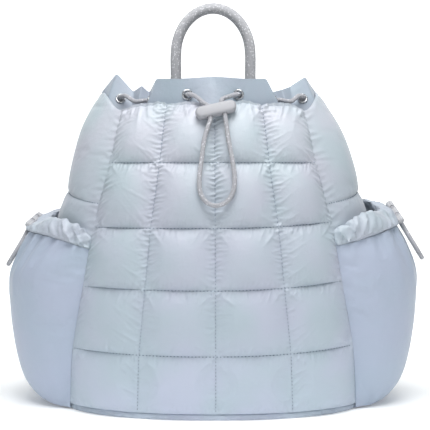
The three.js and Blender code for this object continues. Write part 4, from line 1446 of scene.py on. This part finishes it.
def strap_rings(points, width, thick, axis):
    """Rings along a line, with the half thicknesses thick from side to side and their width along an axis."""
    along = unit(np.gradient(points, axis=0))
    across = unit(axis - along * (along @ axis)[:, None])
    out = np.cross(across, along)
    half = np.linspace(-1, 1, len(thick)) / 2
    wide = width[:, None] * np.concatenate([half, half[::-1]])
    deep = np.concatenate([thick, -thick])[:, None]
    return points[:, None] + across[:, None] * wide[..., None] + out[:, None] * deep


def make_strap(side_name, side):
    """A padded strap, rounded across, with a flat sewn edge on both sides."""
    end = [on_buckle(0, BUCKLE["height"] / 2 + gap, 0) for gap in (0.022, 0.011, 2 * SEAM_GAP)]
    points = curve_through(np.vstack([STRAP_ROUTE, end]), 14)
    narrow = smoothstep(np.linspace(0, 1, len(points)), 0.62, 1)
    width = STRAP["width"] + (STRAP["end"] - STRAP["width"]) * narrow
    across = np.abs(np.linspace(-1, 1, 31))
    full = (1 - across**6) ** 0.5 * (1 - 0.22 * hump(across, 0.84, 0.05))
    rings = strap_rings(points, width, STRAP["thick"] / 2 * np.maximum(full, 0.18), np.array((1.0, 0, 0)))
    made = loft(f"shoulder_strap_{side_name}_pad", mirrored(rings, side), NYLON)
    put(made, "nylon", f"shoulder_strap_{side_name}")


def make_buckle(side_name, side):
    def place(x, y, z):
        return mirrored(on_buckle(x, y, z), side)

    size = BUCKLE["width"], BUCKLE["height"], BUCKLE["thick"]
    made = rounded_plate(f"strap_buckle_{side_name}_frame", size, 0.003, 0.0009, place, GREY_PLASTIC)
    slots = []
    for way in (-1, 1):
        middle = way * (BUCKLE["slot"] + BUCKLE["bar"]) / 2
        hole = BUCKLE["width"] - 2 * BUCKLE["bar"], BUCKLE["slot"], 0.008

        def shifted(x, y, z, middle=middle):
            return place(x, y + middle, z)

        slots.append(rounded_plate("slot", hole, 0.001, 0.0005, shifted, None))
    put(cut_out(made, slots), "lock_plastic", f"strap_buckle_{side_name}")


def make_webbing(side_name, side):
    """Flat webbing: a tail in front of the buckle, over its middle bar, and down behind it to the bag."""
    off = BUCKLE["thick"] / 2 + SEAM_GAP + STRAP["web"] / 2
    bar = BUCKLE["bar"] / 2 - 0.0006
    tail = (-0.052, 0.004), (-0.026, 0.0015), (-0.012, 0), (-0.005, 0)
    behind = (-0.005, 0), (-0.012, 0), (-0.026, 0.0008)
    route = [on_buckle(0, y, off + z) for y, z in tail]
    for angle in np.linspace(math.pi, 0, 5):
        route.append(on_buckle(0, bar + off * math.sin(angle), -off * math.cos(angle)))
    route += [on_buckle(0, y, -off - z) for y, z in behind]
    points = curve_through(np.vstack([route, WEBBING_FOOT]), 10)
    width = np.full(len(points), STRAP["webbing"])
    thick = STRAP["web"] / 2 * np.maximum((1 - np.linspace(-1, 1, 17) ** 8) ** 0.5, 0.3)
    rings = strap_rings(points, width, thick, buckle_frame()[:3, 0])
    made = loft(f"strap_webbing_{side_name}_weave", mirrored(rings, side), WEBBING)
    put(made, "webbing", f"strap_webbing_{side_name}")


for side_name, side_facts in POCKETS.items():
    make_strap(side_name, side_facts["side"])
    make_buckle(side_name, side_facts["side"])
    make_webbing(side_name, side_facts["side"])

# The base and the quilting's stitches
BASE_BEVEL = 0.0024
BASE_INSET = 0.0006


def make_base():
    """The flat base, its edge a soft rounded band with small wrinkles."""
    z = FRONT_ROWS["z"][0]
    front_seam, back_seam = through(BODY, "front_seam", z), through(BODY, "back_seam", z)
    right = side_skin(np.linspace(0, 1, 300), z)[1:-1]
    ring = np.vstack([
        face_skin("front", np.linspace(-front_seam, front_seam, 400), z),
        right,
        face_skin("back", np.linspace(back_seam, -back_seam, 400), z),
        mirrored(right[::-1], -1),
    ])
    ring = even_steps(np.vstack([ring, ring[:1]]), 0.0016)[:-1, :2]
    ring = ring * (1 - (BASE_INSET + BASE_BEVEL) / through(BODY, "front", z))
    ahead = np.roll(ring, -1, 0) - np.roll(ring, 1, 0)
    out = unit(np.stack([ahead[:, 1], -ahead[:, 0]], -1))
    far = np.linspace(0, line_length(np.vstack([ring, ring[:1]])), len(ring))
    rings = []
    for angle in np.linspace(-math.pi / 2, math.pi / 2, 13):
        wrinkle = 0.0004 * wander(far / 0.0025 + 1.5 * angle, 81) + 0.0003 * wander(far / 0.001 - angle, 82)
        offset = (BASE_BEVEL + wrinkle) * max(math.cos(angle), 0) ** 0.4
        height = BASE_HEIGHT / 2 * (1 + math.sin(angle))
        rings.append(np.column_stack([ring + out * offset[:, None], np.full(len(ring), height)]))
    put(loft("base_panel_cloth", np.array(rings), NYLON), "nylon", "base_panel")


STITCH = {"pitch": 0.0033, "length": 0.0016, "radius": 0.0005, "rings": 7, "sides": 6}


def stitch_shape():
    """One stitch, a grain of thread that arches out of the cloth: its points and faces."""
    count, sides = STITCH["rings"], STITCH["sides"]
    ends = np.linspace(-1, 1, count)[:, None]
    girth = np.sqrt(1.02 - ends**2)
    angle = np.linspace(0, 2 * math.pi, sides, endpoint=False)
    points = np.stack([
        ends * STITCH["length"] / 2 * np.ones(sides),
        STITCH["radius"] * girth * np.cos(angle),
        STITCH["radius"] * (girth * np.sin(angle) + 0.9 * (1 - ends**2)),
    ], -1)
    ring = np.arange(sides)
    caps = [ring[::-1].tolist(), (ring + (count - 1) * sides).tolist()]
    return points, grid_faces(count, sides, closed=True).tolist() + caps


def stitches(name, runs, node, finish=SHADE_DARK_THREAD):
    """Rows of thread stitches, each run given by its points and the way out of the cloth along them; the
    thread's dark colour is painted shade.
    """
    own, own_faces = stitch_shape()
    each = STITCH["rings"] * STITCH["sides"]
    points, faces = [], []
    for line, out in runs:
        far = lengths(line)
        at = np.arange(STITCH["pitch"], far[-1] - STITCH["pitch"] / 2, STITCH["pitch"])
        middle = at_lengths(line, far, at)
        along = unit(at_lengths(line, far, at + 0.001) - middle)
        way = at_lengths(out, far, at)
        way = unit(way - along * (way * along).sum(-1, keepdims=True))
        across = np.cross(way, along)
        for place, x, y, z in zip(middle, along, across, way):
            faces += [[corner + each * len(points) for corner in face] for face in own_faces]
            points.append(place + own @ np.stack([x, y, z]))
    put(new_object(name, np.array(points), faces, None, finish, 80), "nylon", node)


def seam_runs(key, columns, rows):
    skin = GRIDS[key][0]
    out = normals_of(skin)
    line = skin + 0.7 * (soft[key] - skin)
    runs = [(line[:, c], out[:, c]) for c in columns]
    return runs + [(line[r], out[r]) for r in rows]


make_base()
across, up = FRONT_STEPS
level_runs = seam_runs("front", (), [up * k for k in (1, 2, 3, 4)])
stitches("front_stitches", level_runs, "front_panel")
upright_runs = seam_runs("front", [across * k for k in (1, 2, 3)], ())
stitches("front_stitches_upright", upright_runs, "front_panel", PALER_SHADE_THREAD)
for side_name in POCKETS:
    side_runs = seam_runs(side_name, (), [SIDE_STEPS[1] * k for k in (1, 2, 3)])
    stitches(f"side_stitches_{side_name}", side_runs, f"side_panel_{side_name}")
